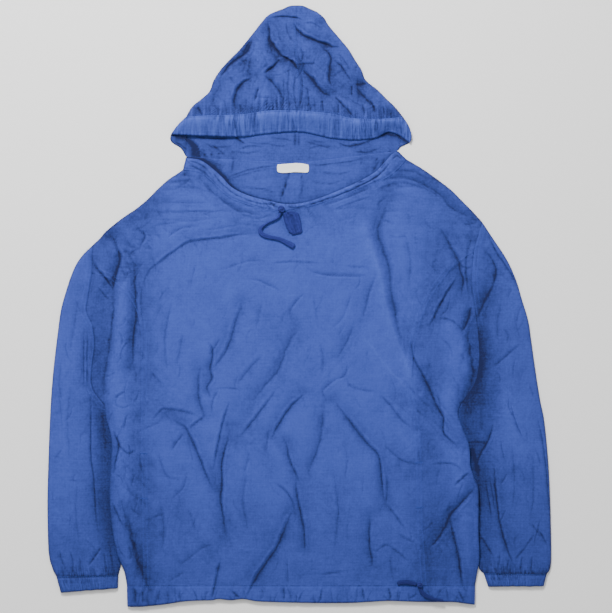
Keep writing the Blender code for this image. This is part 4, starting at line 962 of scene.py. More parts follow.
def back_height(xy):
    """Flat, with the climb to its sides, the pleat, and shallow creases that only stand up."""
    climb = sum(side_lift(xy, side) * (1 - ease(distance(xy, BODY_EDGES[side], 0.03) / SIDE_SLOPE))
                for side in BODY_EDGES)
    rise, half_width, length = PLEAT
    from_pleat = plan(BACK_NECK[1]) - xy
    pleat = rise * (1 - ease(np.abs(from_pleat[..., 0]) / half_width - 0.4))
    pleat *= ease(from_pleat[..., 1] / PLEAT_START - 1) * (1 - ease(from_pleat[..., 1] / length))
    pressed, washed = creased(xy, BACK_CREASES, 1.5), crumpled(xy, 0.9, 0.8, 0.4, 0.9)
    under_edge = distance(xy, smooth(NECKLINE), 0.02)
    left_of_tie = ease((plan(NECK_KNOT)[0] - xy[..., 0] + 0.06) / 0.10)
    detail = 0.5 * pressed[0] + 0.5 * washed[0]
    strong = np.exp(-((xy[..., 0] + 0.136) / 0.036) ** 2)
    narrow_shade = np.exp(-(under_edge / (0.0020 + 0.0030 * strong)) ** 2)
    shade = ((0.35 + 0.9 * left_of_tie + 1.4 * strong) * narrow_shade
             + 0.25 * np.exp(-(under_edge / 0.009) ** 2))
    return (CLOTH + climb + pleat + np.clip(detail + 0.0002, 0, 0.0018),
            pressed[1] + washed[1] - 0.2 - shade)


def back_body():
    """Coons patch from the hem to the shoulders and the back neck, finest inside the neck."""
    rows = np.concatenate([np.linspace(0, .84, 100), np.linspace(.845, 1, 56)])
    columns = np.concatenate([np.linspace(0, .27, 36), np.linspace(.275, .775, 120),
                              np.linspace(.78, 1, 30)])
    left, right = [along(np.vstack([BODY_EDGES[side], CUTS[side][0][::-1][1:]]), rows)
                   for side in BODY_EDGES]
    top = np.vstack([smooth(SHOULDER_LEFT + [BACK_NECK[0]]), plan(BACK_NECK[1:2]),
                     smooth([BACK_NECK[2]] + SHOULDER_RIGHT)])
    xy = patch(left, right, along(plan([(127, HEM_ROW), (475, HEM_ROW)]), columns), along(top, columns))
    height, relief = back_height(xy)
    return raised(xy, height), relief


back_grid, back_relief = back_body()
back = surface("back_panel", back_grid, cotton_finish, ["back_body"], back_relief,
               thick=CLOTH)

# ------------------------------------------------------------ sleeves
# Drop-shoulder sleeves: whole tubes pressed flat, folded at their outer side and again where they
# go in under the body, and felled to the body round the armhole.
FOLD_TURN = 0.0030
SLEEVE_ROLL, SLEEVE_TURN, SLEEVE_RISE = 0.0100, 0.0028, 0.0220
ARMHOLE_REACH, SLEEVE_BOW = 0.0200, 0.2000
SLEEVE_OUT_LEFT = [(56.5, 576), (52.5, 568), (48.5, 550), (47.5, 500), (48.5, 460), (49.5, 430),
                   (51, 400), (52.5, 380), (54.5, 360), (57.5, 335), (61, 310), (66.5, 290),
                   (73.5, 270), (81.5, 256.5), (93, 245)]
SLEEVE_OUT_RIGHT = [(546.5, 574), (549.7, 569.5), (551, 560), (551, 540), (550, 500), (548, 460),
                    (544, 420), (540, 400), (536, 375), (531, 340), (528, 320), (522, 300),
                    (516, 280), (507, 260), (494, 240), (482, 222)]
SLEEVE_IN_LEFT = [(118.5, 575), (121, 562), (119, 545), (116, 525), (113.5, 500), (114.5, 470),
                  (114, 446), (109.5, 423), (104.2, 404.6)]
SLEEVE_IN_RIGHT = [(483.5, 573), (479.5, 569), (476.5, 558), (475.5, 545), (474.5, 530), (474.5, 495),
                   (470, 478), (466.5, 462), (464, 446), (460, 430), (456, 416), (461.4, 402.6)]
CUFF_LEFT = ((56.5, 576), (118.5, 575), (61, 592.5), (118, 588))
CUFF_RIGHT = ((483.5, 573), (546.5, 574), (488, 586.5), (543.5, 586))
SLEEVE_CREASES = [Crease(*row) for row in (
    # left sleeve
    ([(84.5, 326), (84, 350), (84, 388)], 2.0, .9, .5),
    ([(88, 328), (87.5, 352), (87, 392)], 2.0, .9, -.5),
    ([(91, 388), (91, 420), (91, 455), (93.3, 473), (95, 493), (96, 513), (98.5, 534)], 2.8, 1.2, .5),
    ([(101.7, 547), (96, 555), (88.3, 566)], 3.0, 1.7, .5),
    ([(60, 551), (62, 560), (65, 567)], 2.6, 1.1, .4),
    ([(100, 408), (104, 430), (106, 455)], 9.0, .6, .2),
    ([(78, 300), (74, 330), (70, 352)], 5.0, .5, .4),
    ([(62, 352), (60, 392), (63, 430)], 5.0, .4, .3),
    ([(72, 380), (68, 420), (70, 462)], 5.4, .4, -.4),
    ([(78, 478), (76, 512), (80, 545)], 4.4, .4, .4),
    ([(66, 480), (80, 481), (90, 480)], 2.4, .4, .4),
    ([(70, 550), (73, 561), (72, 573)], 2.6, .8, .4),
    ([(80, 556), (81, 573)], 2.6, .8, -.4),
    ([(104, 552), (107, 573)], 2.8, .9, .4),
    ([(110, 545), (113, 570)], 3.0, .9, .4),
    # right sleeve
    ([(484, 250), (490, 257), (494, 264), (496, 272), (493, 284), (488, 294), (482, 306), (476, 320),
      (471, 332)], 4.0, 1.7, .5),
    ([(494, 270), (494, 282)], 4.0, .8, .3),
    ([(487, 234), (490, 240), (496, 252), (504, 264), (512, 276), (518, 290)], 2.4, 1.5, .5),
    ([(521, 343), (507, 355), (491, 369)], 2.4, 1.1, .5),
    ([(478, 338), (482, 360), (482, 390), (481, 420), (478, 445)], 22.0, .4, .1),
    ([(472, 446), (475, 460), (479, 477)], 5.8, 4.2, .2),
    ([(493, 424), (488, 440), (480, 454), (475, 468)], 4.0, 2.0, .5),
    ([(463, 443), (476, 442), (491, 443)], 2.4, 1.4, .4),
    ([(510, 404), (516, 424), (523, 439)], 2.4, 1.0, .5),
    ([(536, 414), (542, 440), (546, 470), (548, 496), (549, 514)], 2.4, 1.3, .5),
    ([(494, 464), (495, 484), (497, 504), (500, 524), (506, 546), (515, 568)], 3.0, 2.0, .5),
    ([(485, 478), (488, 496), (492, 522)], 2.4, 1.2, .6),
    ([(489, 476), (492, 492), (495, 512)], 2.2, .9, .6),
    ([(478, 480), (480, 510), (479, 545), (480, 568)], 6.0, 1.2, .2),
    ([(478, 532), (486, 544), (493, 556)], 3.0, 1.7, .4),
    ([(507, 473), (500, 485)], 3.0, .9, .4),
    ([(537, 527), (547, 545)], 2.8, 1.2, .4),
    ([(531, 523), (540, 536)], 2.4, .9, .4),
    ([(525, 547), (515, 559)], 3.0, 1.2, -.4),
    ([(534, 534), (524, 548)], 2.6, .9, -.4),
    ([(524, 300), (516, 322), (520, 340)], 4.0, .5, .4),
    ([(502, 300), (497, 322), (498, 344)], 4.4, .6, -.4),
    ([(532, 452), (533, 492), (530, 522)], 5.0, .5, .4),
    ([(512, 445), (514, 480), (512, 510)], 5.0, .5, -.4),
    ([(532, 556), (530, 572)], 2.6, 1.0, .4),
    ([(500, 552), (498, 571)], 2.6, 1.0, .4),
    ([(522, 556), (520, 572)], 2.6, 1.0, -.4),
    ([(509, 558), (506, 571)], 2.4, .9, .4),
)] + scattered(16, (52, 270), (44, 280), 5, 0.45) + scattered(22, (486, 260), (58, 290), 6, 0.6)
SLEEVE_HOLLOW = {                # where the body's bulge shades the sleeve
    "left": [(108, 298), (110, 335), (106, 375), (106, 420), (107, 460), (109, 500), (112, 540)],
    "right": [(484, 300), (482, 335), (483, 365), (480, 395), (474, 425), (478, 450), (482, 478)]}
HOLLOW_WIDTH = {"left": 0.018, "right": 0.024}
HIDDEN_ROW = 324                 # below it the right armhole lies out of sight under the body
SLEEVES = {"left": (SLEEVE_OUT_LEFT, SLEEVE_IN_LEFT, CUFF_LEFT),
           "right": (SLEEVE_OUT_RIGHT, SLEEVE_IN_RIGHT, CUFF_RIGHT)}


def gathered(across, up, count, seed):
    """Gathers of an elastic edge: uneven swells square to it with narrow valleys between them."""
    sway = 0.30 * noise(across * count * 0.3, up * 1.5, seed)
    place, height = across * count + sway, up * 0.8
    fine_place = across * count * 2.3 + 2 * sway
    swell, fine = noise(place, height, seed + 1), noise(fine_place, up * 1.6, seed + 2)
    strength = np.clip(0.65 + 0.7 * noise(across * count * 0.15, up * 0.7 + 3, seed + 3), 0.2, 1.3)
    return strength * (0.45 * swell - 0.85 * valleys(place, height, seed + 1, 0.20)
                       + 0.30 * fine - 0.75 * valleys(fine_place, up * 1.6, seed + 2, 0.24) + 0.35)


def ringed(xy, high, low, relief, skip=5):
    """Flattened tube: the upper layer, and back along a lower layer with fewer columns."""
    back_way = slice(-2, 0, -skip)
    return (np.concatenate([raised(xy, high), raised(xy, low)[:, back_way]], axis=1),
            np.concatenate([relief, 0.3 * relief[:, back_way]], axis=1))


def turned_in(grid, relief, depth=0.0040):
    """The ring with one more row at its free edge, turned up inside it."""
    inner = grid[:1] * (1, 1, 0.7) + (0, depth, 0.0006)
    # Painted shade on the turned-in row.
    return np.concatenate([inner, grid]), np.concatenate([relief[:1] - 0.8, relief])


def sleeve_height(xy, side):
    """Upper and lower layer: level with the body at the armhole, low where it goes in under it.

    Where the armhole is out of sight it has no felled strip, and the body's shade instead.
    """
    outline, inside = [smooth(table) for table in SLEEVES[side][:2]]
    armhole = CUTS[side][0]
    from_out, from_in, from_armhole = [distance(xy, line, 0.05) for line in (outline, inside, armhole)]
    high, relief = lay(xy, SLEEVE_CREASES, 0.8, 1.3)
    calm = SLEEVE_TURN + (high - SLEEVE_TURN) * ease(from_in / SLEEVE_RISE)
    high = calm + (high - calm) * ease(1 - from_armhole / ARMHOLE_REACH)
    from_cuff = (xy - plan(SLEEVES[side][2][0]))[..., 1]
    gather = gathered(xy[..., 0] / 0.096, xy[..., 1] * 40, 24, 41) * (1 - ease(from_cuff / 0.022))
    hidden = (side == "right") * ease((plan((0, HIDDEN_ROW))[1] - xy[..., 1]) / 0.012)
    groove = felled(from_armhole, 1 - hidden, 1.0 if side == "left" else 0.35)
    high = np.maximum(high + 0.0012 * gather + groove[0], FOLD_TURN / 2 + 0.0008)
    shade = 0.35 * (1 - ease(from_in / 0.034)) * ease(from_armhole / 0.02) - 0.08
    shade += 0.6 * np.exp(-(from_cuff / 0.0025) ** 2)
    shade += hidden * (0.7 * np.exp(-from_armhole / 0.008) + 0.25 * np.exp(-from_armhole / 0.030))
    beside_body = distance(xy, smooth(SLEEVE_HOLLOW[side]), 0.09)
    shade += (0.7 * np.exp(-(from_out / 0.0018) ** 2)
              + 0.42 * np.exp(-(beside_body / HOLLOW_WIDTH[side]) ** 2))
    turn = FOLD_TURN / 2
    high = turn + (high - turn) * roll(from_out, SLEEVE_ROLL) * roll(from_in, FOLD_TURN)
    low = turn * (1 - np.minimum(roll(from_out, FOLD_TURN), roll(from_in, FOLD_TURN)))
    # The gathers' tone is their painted light and shade.
    return high, low, relief + np.minimum(1.5 * gather, 0.15) + groove[1] - shade


def sleeve(side):
    """Rings from the cuff seam up to the armhole, fanned round the underarm.

    The last rings bow outwards, so that they meet the armhole from the sleeve's own side.
    """
    rows, columns = even(232), even(150)
    outline, inside = along(smooth(SLEEVES[side][0]), rows), along(smooth(SLEEVES[side][1]), rows ** 0.8)
    armhole = CUTS[side][0]
    if side == "left":
        top, left, right = along(armhole, columns), outline, inside
    else:
        top, left, right = along(armhole[::-1], columns), inside, outline
    left[-1], right[-1] = top[0], top[-1]
    xy = patch(left, right, along(plan(SLEEVES[side][2][:2]), columns), top)
    bow_out = SLEEVE_BOW * (rows ** 6 * (1 - rows))[:, None] * np.sin(np.pi * columns)
    xy[..., 0] += -bow_out if side == "left" else bow_out
    return ringed(xy, *sleeve_height(xy, side))


for side in SLEEVES:
    sleeve_grid, sleeve_relief = sleeve(side)
    tube = surface("sleeve_cloth_" + side, sleeve_grid, cotton_finish,
                   ["sleeve_" + side], sleeve_relief, ring=True,
                   crinkled=0.35 + 0.8 * crowding(sleeve_grid[..., :2]))

# ------------------------------------------------------------ cuffs
# Short bands folded over elastic: it draws them, and the ends of the sleeves, into gathers.
CUFF_LOFT, CUFF_PUFF, CUFF_GATHER = 0.0058, 0.0009, 0.0007
STITCH_LINE = 0.93               # share of a folded band's height at which it is stitched
CASING_BLUE = ((0.009, 0.014, 0.064), (0.040, 0.067, 0.324), (0.065, 0.108, 0.474))


def band_rows(count):
    """Shares up a folded band, close together at both its edges."""
    return np.concatenate([[0, .02, .05], np.linspace(.1, STITCH_LINE, count), [.97, 1]])[:, None]


def on_stitch_line(up):
    """1 on a folded band's stitch line, fading as a bell to both sides."""
    return np.exp(-((up - STITCH_LINE) / 0.05) ** 2)


def cuff(side):
    """Flat ring between its seam and its folded edge, ridged across by the gathers."""
    near_left, near_right, far_left, far_right = SLEEVES[side][2]
    columns = even(200)
    up = band_rows(18)
    top, bottom = [along(plan(pair), columns) for pair in ((near_left, near_right), (far_left, far_right))]
    wave = 0.0009 * noise(columns * 6, columns * 0, 51)
    bottom = bottom + np.column_stack([0 * wave, wave])
    xy = bottom + up[..., None] * (top - bottom)
    away = np.minimum(distance(xy, xy[:, 0]), distance(xy, xy[:, -1]))
    gather = gathered(columns + 0 * up, up, 34, 52)
    stitched = on_stitch_line(up)
    detail = CUFF_GATHER * gather * (0.65 + 0.35 * up) - 0.0006 * stitched
    puff = CUFF_PUFF * np.sin(np.pi * up) ** 0.6
    edge = 1 - 0.45 * (1 - roll(up, 0.14))
    high = FOLD_TURN + (CUFF_LOFT + detail + puff - FOLD_TURN) * roll(away) * edge
    low = FOLD_TURN * (1 - roll(away, FOLD_TURN))
    # Tone: painted light and shade of the gathers, painted shade on the stitch line, along the folded lower
    # edge and at both ends, and darker all over.
    return turned_in(*ringed(xy, high, low, np.minimum(0.8 * gather, 0.15) - 0.9 * stitched - 0.25
                             - 0.6 * (1 - ease(up / 0.10)) - 0.5 * np.exp(-(away / 0.0018) ** 2)))


casing_finish = cotton("casing_blue", CASING_BLUE)
for side in SLEEVES:
    cuff_grid, cuff_relief = cuff(side)
    band = surface("cuff_band_" + side, cuff_grid, casing_finish, ["cuff_" + side],
                   cuff_relief, ring=True)

# ------------------------------------------------------------ hem
# The body's lower edge turned up over its drawstring and stitched down, so it runs right round.
HEM_LOFT, HEM_PUFF = 0.0052, 0.0009
HEM_ENDS = ([(127, 585), (128, 607)], [(475, 585), (474, 605)])
HEM_EDGE = [(127.5, 606.5), (140, 606.5), (152, 605.5), (166, 604), (184, 601.2), (200, 600.3),
            (212, 600), (219, 598.8), (231, 600), (243, 598.8), (257, 601), (280, 602),
            (320, 602.8), (350, 602.6), (369, 601.6), (389, 600.6), (409, 601.3), (430, 601.7),
            (453, 601.8), (463, 603), (474.5, 604.5)]
HEM_CREASES = [Crease(*row) for row in (
    ([(135, 588), (136, 604)], 2.6, 1.4, .4),
    ([(143, 590), (143, 604)], 2.6, 1.2, -.4),
    ([(160, 588), (158, 603)], 2.4, .9, .4),
    ([(181, 589), (178, 600)], 2.4, .9, .4),
    ([(232, 590), (240, 598)], 2.6, 1.6, .4),
    ([(284, 586), (284, 601)], 3.0, 1.3, .4),
    ([(322, 588), (320, 601)], 2.6, .9, -.4),
    ([(362, 586), (364, 600)], 2.6, 1.1, .4),
    ([(388, 586), (391, 599)], 3.0, 1.6, .4),
    ([(400, 590), (399, 600)], 2.4, 1.0, .4),
    ([(446, 588), (448, 600)], 2.6, 1.0, .4),
    ([(458, 590), (464, 602)], 2.6, 1.6, -.4),
)] + scattered(40, (128, 586), (344, 8), 10, 0.8, 0.3)


def hem_height(xy, up, across):
    """The lay with the casing's puff, the draw of the cord and a groove under its stitches."""
    height, relief = lay(xy, BODY_CREASES + HEM_CREASES, 1.0, 1.3)
    away = np.minimum(distance(xy, plan(HEM_ENDS[0])), distance(xy, plan(HEM_ENDS[1])))
    pucker = gathered(across, up, 46, 61) * (0.25 + 0.75 * np.exp(-((up - 0.9) / 0.22) ** 2))
    stitched = on_stitch_line(up)
    detail = 0.0005 * pucker * ease(from_hem_tie(xy) / 0.010) - 0.0002 * stitched
    puff = HEM_PUFF * np.sin(np.pi * up) ** 0.6
    edge = 1 - 0.40 * (1 - roll(up, 0.10))
    high = FOLD_TURN + (np.maximum(height, HEM_LOFT) + detail + puff - FOLD_TURN) * roll(away) * edge
    low = FOLD_TURN * (1 - roll(away, FOLD_TURN))
    # Tone: painted light and shade of the puckers, painted shade along the folded lower edge and in the
    # groove at the seam, paler on the stitch line.
    tone = (relief + 0.15 + 0.30 * pucker + 0.15 * stitched - 0.8 * (1 - ease(up / 0.12))
            - 0.6 * np.exp(-((up - 1) / 0.04) ** 2))
    return high, low, tone


def hem_casing():
    """Flattened ring between the stitch line and the folded lower edge."""
    columns = even(400)
    up = band_rows(20)
    top, bottom = along(plan([(127, HEM_ROW), (475, HEM_ROW)]), columns), along(smooth(HEM_EDGE), columns)
    xy = bottom + up[..., None] * (top - bottom)
    return turned_in(*ringed(xy, *hem_height(xy, up, columns + 0 * up)))


hem_grid, hem_relief = hem_casing()
hem = surface("hem_band", hem_grid, cotton_finish, ["hem_casing"], hem_relief, ring=True)

# ------------------------------------------------------------ hood
# Two halves joined by the crown seam, which is stitched on both sides. The hood lies up and flat:
# each half runs from that seam over the outline's fold to the seam underneath.
HOOD_LOFT, HOOD_SIDE_LOFT, HOOD_RISE, HOOD_ROLL = 0.0125, 0.0095, 0.0600, 0.0120
HOOD_OUT_LEFT = [(186, 117), (192, 107), (201, 99.5), (209.5, 91.5), (213.5, 81), (220.5, 70),
                 (229.5, 60), (239.5, 50), (251, 36), (262, 22), (268, 15.5), (276, 11.5)]
HOOD_OUT_RIGHT = [(403, 117), (394.5, 106.5), (387, 99.5), (377.5, 90), (365.5, 80), (361.5, 70),
                  (355, 60), (349, 50), (340, 39), (329, 26), (324, 18), (317, 12)]
PEAK_LEFT = [(276, 11.5), (283, 9), (290, 6), (297, 5.5)]
PEAK_RIGHT = [(317, 12), (310, 9), (303, 6), (297, 5.5)]
CROWN_SEAM = [(298, 111), (301, 90), (300, 72), (298, 50), (297, 30), (297, 5.5)]
BRIM_SEAM_LEFT = [(186, 117), (210, 116), (240, 115), (270, 111), (298, 111)]
BRIM_SEAM_RIGHT = [(298, 111), (330, 114), (355, 119), (385, 119), (403, 117)]
HOOD_FOLDS = [
    Fold([(268, 26), (271, 42), (284, 58), (301, 72)], 14, -0.0034),
    Fold([(297, 29), (308, 38), (335, 47)], 12, -0.0028),
    Fold([(250, 78), (240, 92), (236, 108)], 14, -0.0030),
    Fold([(302, 73), (314, 85), (328, 97)], 13, -0.0028),
    Fold([(323, 50), (330, 68), (331, 95)], 12, -0.0022),
    Fold([(362, 82), (362, 96)], 14, -0.0034),
    Fold([(283, 60), (268, 75), (283, 103)], 12, -0.0022),
    Fold([(250, 42), (242, 58), (224, 72), (213, 98)], 14, -0.0026),
    Fold([(258, 45), (262, 70), (262, 100)], 14, 0.0024),
]
HOOD_CREASES = [Crease(*row) for row in (
    ([(271, 18), (280, 17.3), (289, 17.6), (297, 18.6), (303, 21)], 2.6, 2.0, .4),
    ([(293, 22), (295, 26), (298, 31.5), (306, 37.5), (315, 41), (323, 44), (331, 46.8), (340, 47.6)],
     3.6, 3.0, .5),
    ([(268, 23), (269.3, 33), (270, 41)], 2.6, 1.7, .5),
    ([(269.3, 36), (270.5, 42), (274, 47.5), (278.6, 53.6), (283, 57.5)], 4.2, 4.4, .5),
    ([(281, 56), (288, 60), (293.6, 63.6), (298.5, 71)], 3.4, 4.0, .4),
    ([(270, 40), (272, 52), (279, 60), (289, 66)], 12.0, 1.0, .1),
    ([(251, 41), (247, 48), (242, 54)], 6.0, 1.8, 0),
    ([(280, 60), (273.6, 67), (268, 71.4), (265, 75)], 3.6, 2.8, -.4),
    ([(265, 76), (273.6, 84), (279, 91.4), (284, 101)], 4.0, 1.8, -.4),
    ([(253, 40), (248, 50), (243, 55.5), (237, 59.5), (232, 63.5), (226, 70), (220, 77)], 4.6, 2.6, .5),
    ([(247, 57), (244, 66), (243, 76)], 10.0, .9, .1),
    ([(251, 58), (249, 68), (250, 79)], 12.0, 1.1, 0),
    ([(252, 78), (243.6, 83), (238.6, 88.6), (235.5, 96), (234.3, 103), (236, 112)], 4.6, 2.3, -.5),
    ([(259, 87), (257, 94), (255, 102)], 3.0, 2.0, .5),
    ([(230, 77), (233.5, 82)], 2.4, 1.0, .4),
    ([(221, 85), (216, 93), (213.5, 99), (214.5, 106), (218, 111)], 2.6, .9, .5),
    ([(321, 46.5), (326, 51), (330, 57), (330, 67), (329, 78), (331, 88)], 4.6, 2.2, -.4),
    ([(334, 60.5), (342, 68), (348, 77), (352, 83)], 3.0, 1.4, .5),
    ([(351.7, 85), (351.5, 98)], 2.8, 1.5, .5),
    ([(302, 70), (312, 80), (318, 88), (323, 93), (330, 96)], 5.0, 2.6, .5),
    ([(334, 97), (342, 105), (347, 110), (354, 118)], 3.2, 1.8, .5),
    ([(355, 85), (360, 85), (366, 84)], 7.0, 2.6, 0),
    ([(357, 89), (364, 97), (371, 106)], 6.0, 1.8, .2),
    ([(370, 101), (373, 107), (375, 113)], 4.0, 2.6, .3),
    ([(197, 106), (203, 117)], 3.4, 2.0, .5),
    ([(297, 65), (306, 64.5), (316, 64)], 2.6, 1.0, .4),
    ([(301, 74), (302.5, 87), (300, 109)], 2.4, 1.6, .5),
    ([(307, 86), (309, 103), (311, 112)], 2.2, 1.2, .5),
    ([(322, 99), (323.4, 114)], 2.4, 1.8, .4),
    ([(314, 96), (315, 113)], 2.2, 1.2, .4),
    ([(296, 72), (294, 90), (296, 110)], 2.2, 1.2, -.5),
    ([(289, 68), (288, 88), (290, 109)], 2.2, 1.1, .5),
    ([(283, 76), (284, 96), (281, 110)], 2.2, 1.0, -.5),
    ([(276, 92), (277, 110)], 2.2, 1.0, .5),
    ([(268, 96), (266, 111)], 2.4, 1.0, .5),
    ([(247, 98), (246, 113)], 2.4, 1.1, .5),
    ([(240, 104), (241, 114)], 2.4, 1.6, .5),
    ([(224, 100), (227, 114)], 2.4, .9, .5),
    ([(338, 104), (338, 115)], 2.4, 1.2, .5),
    ([(362, 104), (365, 117)], 2.6, 1.4, .4),
    ([(382, 106), (386, 118)], 2.6, 1.1, .4),
    ([(286, 22), (288, 34), (294, 44)], 3.0, .8, -.4),
    ([(304, 24), (312, 24), (320, 28)], 2.6, .8, .4),
    ([(300, 47), (303, 57), (300, 64)], 4.0, .9, .4),
    ([(338, 54), (345, 62), (350, 72)], 3.0, .7, .4),
    ([(277, 26), (280, 40), (286, 48)], 3.0, .6, -.4),
)] + scattered(34, (214, 46), (150, 58), 7, 0.6, 0.7)
INSIDE_CREASES = [Crease(*row) for row in (
    ([(170, 135), (178, 136.5), (186, 139), (191, 144), (194, 150), (193, 157), (190, 162)], 5.4, 3.8, 0),
    ([(188, 139), (196, 146), (199, 153), (200, 162)], 4.0, 2.2, .4),
    ([(174, 141), (181, 145), (187, 150)], 3.0, 1.4, .5),
    ([(204, 149), (205, 158), (206, 165)], 2.2, 1.2, .4),
    ([(211, 150), (212, 160), (213, 168)], 2.2, 1.0, -.4),
    ([(218, 150), (220, 160)], 2.2, .8, .4),
    ([(236, 150), (250, 146), (264, 147)], 2.2, .9, .4),
    ([(270, 138), (284, 139), (293, 141)], 2.0, .7, .4),
    ([(304, 141), (322, 146), (338, 147)], 2.2, .8, -.4),
    ([(188, 137), (212, 138.5), (236, 139)], 2.6, 1.4, 0),
    ([(235, 136), (239, 140), (245, 144)], 3.0, 2.0, .5),
    ([(376, 139), (386, 134.5), (396, 136), (404, 140), (411, 145)], 6.0, 2.6, 0),
    ([(337, 142), (346, 146), (356, 145), (366, 142), (378, 137)], 3.0, 2.0, .5),
    ([(387, 152), (396, 154)], 4.0, 2.6, 0),
    ([(384, 150), (383, 158), (380, 168)], 3.4, 1.4, .4),
    ([(295, 132), (295, 147)], 1.8, 1.1, .4),
    ([(298.5, 132), (298.5, 147)], 1.8, 1.1, .4),
    ([(233, 151), (248, 153), (263, 150)], 2.6, .7, .4),
    ([(211, 144), (219, 150), (226, 156)], 2.6, .9, .4),
    ([(262, 143), (280, 146), (290, 144)], 2.4, .6, .3),
    ([(306, 150), (320, 146), (334, 150)], 2.6, .7, -.4),
    ([(204, 142), (214, 147), (232, 146)], 2.6, .8, .4),
    ([(200, 150), (208, 158)], 2.6, .9, .4),
    ([(246, 142), (262, 144), (274, 141)], 2.4, .6, .4),
    ([(310, 140), (326, 143)], 2.4, .6, .4),
    ([(352, 151), (368, 152), (382, 147)], 2.4, .8, .4),
    ([(233, 150), (233, 162)], 2.0, .9, .4),
    ([(361, 149), (361, 160)], 2.0, .9, .4),
)]
HOOD_OUTLINE = smooth(HOOD_OUT_LEFT + HOOD_OUT_RIGHT[::-1])
HOOD_PEAK = np.vstack([smooth(PEAK_LEFT), smooth(PEAK_RIGHT)[::-1]])
CROWN = smooth(CROWN_SEAM)


def hood_height(xy):
    """Upper layer before it turns down: high in the middle, drawn in along its two seams."""
    crown = ease(distance(xy, HOOD_OUTLINE, 0.08) / HOOD_RISE)
    pressed, washed = creased(xy, HOOD_CREASES, 1.25), crumpled(xy, 1.3, 0.1, 1.0, 1.2)
    away = distance(xy, CROWN, 0.02)
    groove = np.exp(-(away / 0.0012) ** 2)
    strip = ease(away / 0.002) * (1 - ease((away - 0.005) / 0.003))
    by_brim = distance(xy, np.vstack([smooth(BRIM_SEAM_LEFT), smooth(BRIM_SEAM_RIGHT)]), 0.08)
    middle = 0.022 * np.exp(-((xy[..., 0] + 0.006) / 0.045) ** 2)
    draw = gathered(xy[..., 0] / 0.34, xy[..., 1] * 16, 66, 71) * (1 - ease(by_brim / (0.032 + middle)))
    large = folded(xy, HOOD_FOLDS)
    # Tone: painted shade in the creases, the crinkle and the crown seam's groove, painted light and shade of
    # the gathers and folds, and painted shade over the whole hood.
    return (HOOD_SIDE_LOFT + (HOOD_LOFT - HOOD_SIDE_LOFT) * crown + large + pressed[0] + washed[0]
            + 0.0011 * draw + 0.0003 * strip - 0.0004 * groove,
            pressed[1] + washed[1] + np.minimum(1.1 * draw, 0.2) - 0.15 * groove + large / 0.011 - 0.28)


def hood_half(side):
    """A C round the outline's fold; the under layer, whose upper side is the hood's inside, is flat."""
    rows, columns, under_columns = even(190), even(112), even(66)
    left_side = side == "left"
    outline = along(smooth(HOOD_OUT_LEFT if left_side else HOOD_OUT_RIGHT), rows)
    crown = along(CROWN, rows)
    centre_back = along(plan([BACK_NECK[1], CROWN_SEAM[-1]]), rows)
    peak = smooth(PEAK_LEFT if left_side else PEAK_RIGHT)
    brim = smooth(BRIM_SEAM_LEFT if left_side else BRIM_SEAM_RIGHT[::-1])
    corner = BACK_NECK[0] if left_side else BACK_NECK[2]
    under_edge = np.vstack([outline[:1], plan([corner, BACK_NECK[1]])])
    upper = patch(outline, crown, along(brim, columns), along(peak, columns))
    under = patch(outline, centre_back, along(under_edge, under_columns), along(peak, under_columns))
    from_side = np.linalg.norm(upper - upper[:, :1], axis=-1)
    high, relief = hood_height(upper)
    high = PAIR + (np.maximum(high, PAIR + SEAM) - PAIR) * roll(distance(upper, HOOD_PEAK, 0.02), HOOD_ROLL)
    turn = np.minimum(FOLD_TURN, high[:, :1] / 2)
    high = (turn + np.maximum(PAIR - turn, 0) * roll(from_side, FOLD_TURN / 2)
            + (high - np.maximum(PAIR, turn)) * roll(from_side, HOOD_ROLL))
    from_fold = np.linalg.norm(under - under[:, :1], axis=-1)
    pressed, washed = creased(under, INSIDE_CREASES, 1.6), crumpled(under, 1.1, 0.9, 0.4, 0.8)
    crinkle, shade = 0.6 * pressed[0] + 0.35 * washed[0], pressed[1] + washed[1] - 0.25
    low = (turn * (1 - roll(from_fold, FOLD_TURN))
           + np.clip(0.0004 + crinkle, 0, 0.0016) * ease(from_fold / 0.01))
    # Painted shade along the outline's fold and the peak's edge.
    relief = relief - 0.7 * np.exp(-(np.minimum(from_side, distance(upper, HOOD_PEAK, 0.02)) / 0.0018) ** 2)
    above, below = raised(upper, high), raised(under, low)
    if left_side:
        return (np.concatenate([below[:, :0:-1], above], axis=1),
                np.concatenate([shade[:, :0:-1], relief], axis=1))
    return (np.concatenate([above[:, ::-1], below[:, 1:]], axis=1),
            np.concatenate([relief[:, ::-1], shade[:, 1:]], axis=1))


for side in CUTS:
    hood_grid, hood_relief = hood_half(side)
    half = surface("hood_half_" + side, hood_grid, cotton_finish, ["hood_" + side],
                   hood_relief, crinkled=1.0)

# ------------------------------------------------------------ hood's elastic edge
# A casing sewn to the hood's opening. Its elastic gathers it and draws its ends round under the
# hood's corners, down to the neck.
BAND = 0.0026
BRIM_END_LOFT, BRIM_ROLL, BRIM_GATHER = 0.0055, 0.0200, 0.0007
BRIM_EDGE = [(171, 134.5), (200, 136), (240, 137), (265, 134), (300, 132), (330, 138),
             (355, 140), (375, 138), (388, 132), (400, 136), (409.5, 143)]
BRIM_END_LEFT = [(171, 134.5), (178, 125), (186, 117)]
BRIM_END_RIGHT = [(409.5, 143), (411.5, 136), (408.5, 126), (403, 117)]
BRIM_TURN = {"left": [(186, 117), (178, 125), (170.5, 136), (172, 142.5), (181, 148.5), (186, 157)],
             "right": [(403, 117), (408.5, 126), (411.5, 138), (409, 143), (401, 147), (398, 151)]}
BRIM_SEAM = np.vstack([smooth(BRIM_SEAM_LEFT), smooth(BRIM_SEAM_RIGHT)[1:]])


def band_section(count, lip):
    """Shares up a casing's face, and for each how far it is rolled down at its free edge.

    The first rows run back under the edge: they repeat it one wall lower and then turn in.
    """
    up = np.concatenate([[lip, 0.0], lip * np.array([0, .15, .5]), np.linspace(lip, 1, count)])
    down = np.concatenate([[1, 1], [.62, .25, .06], np.zeros(count)])
    return up[:, None], down[:, None]


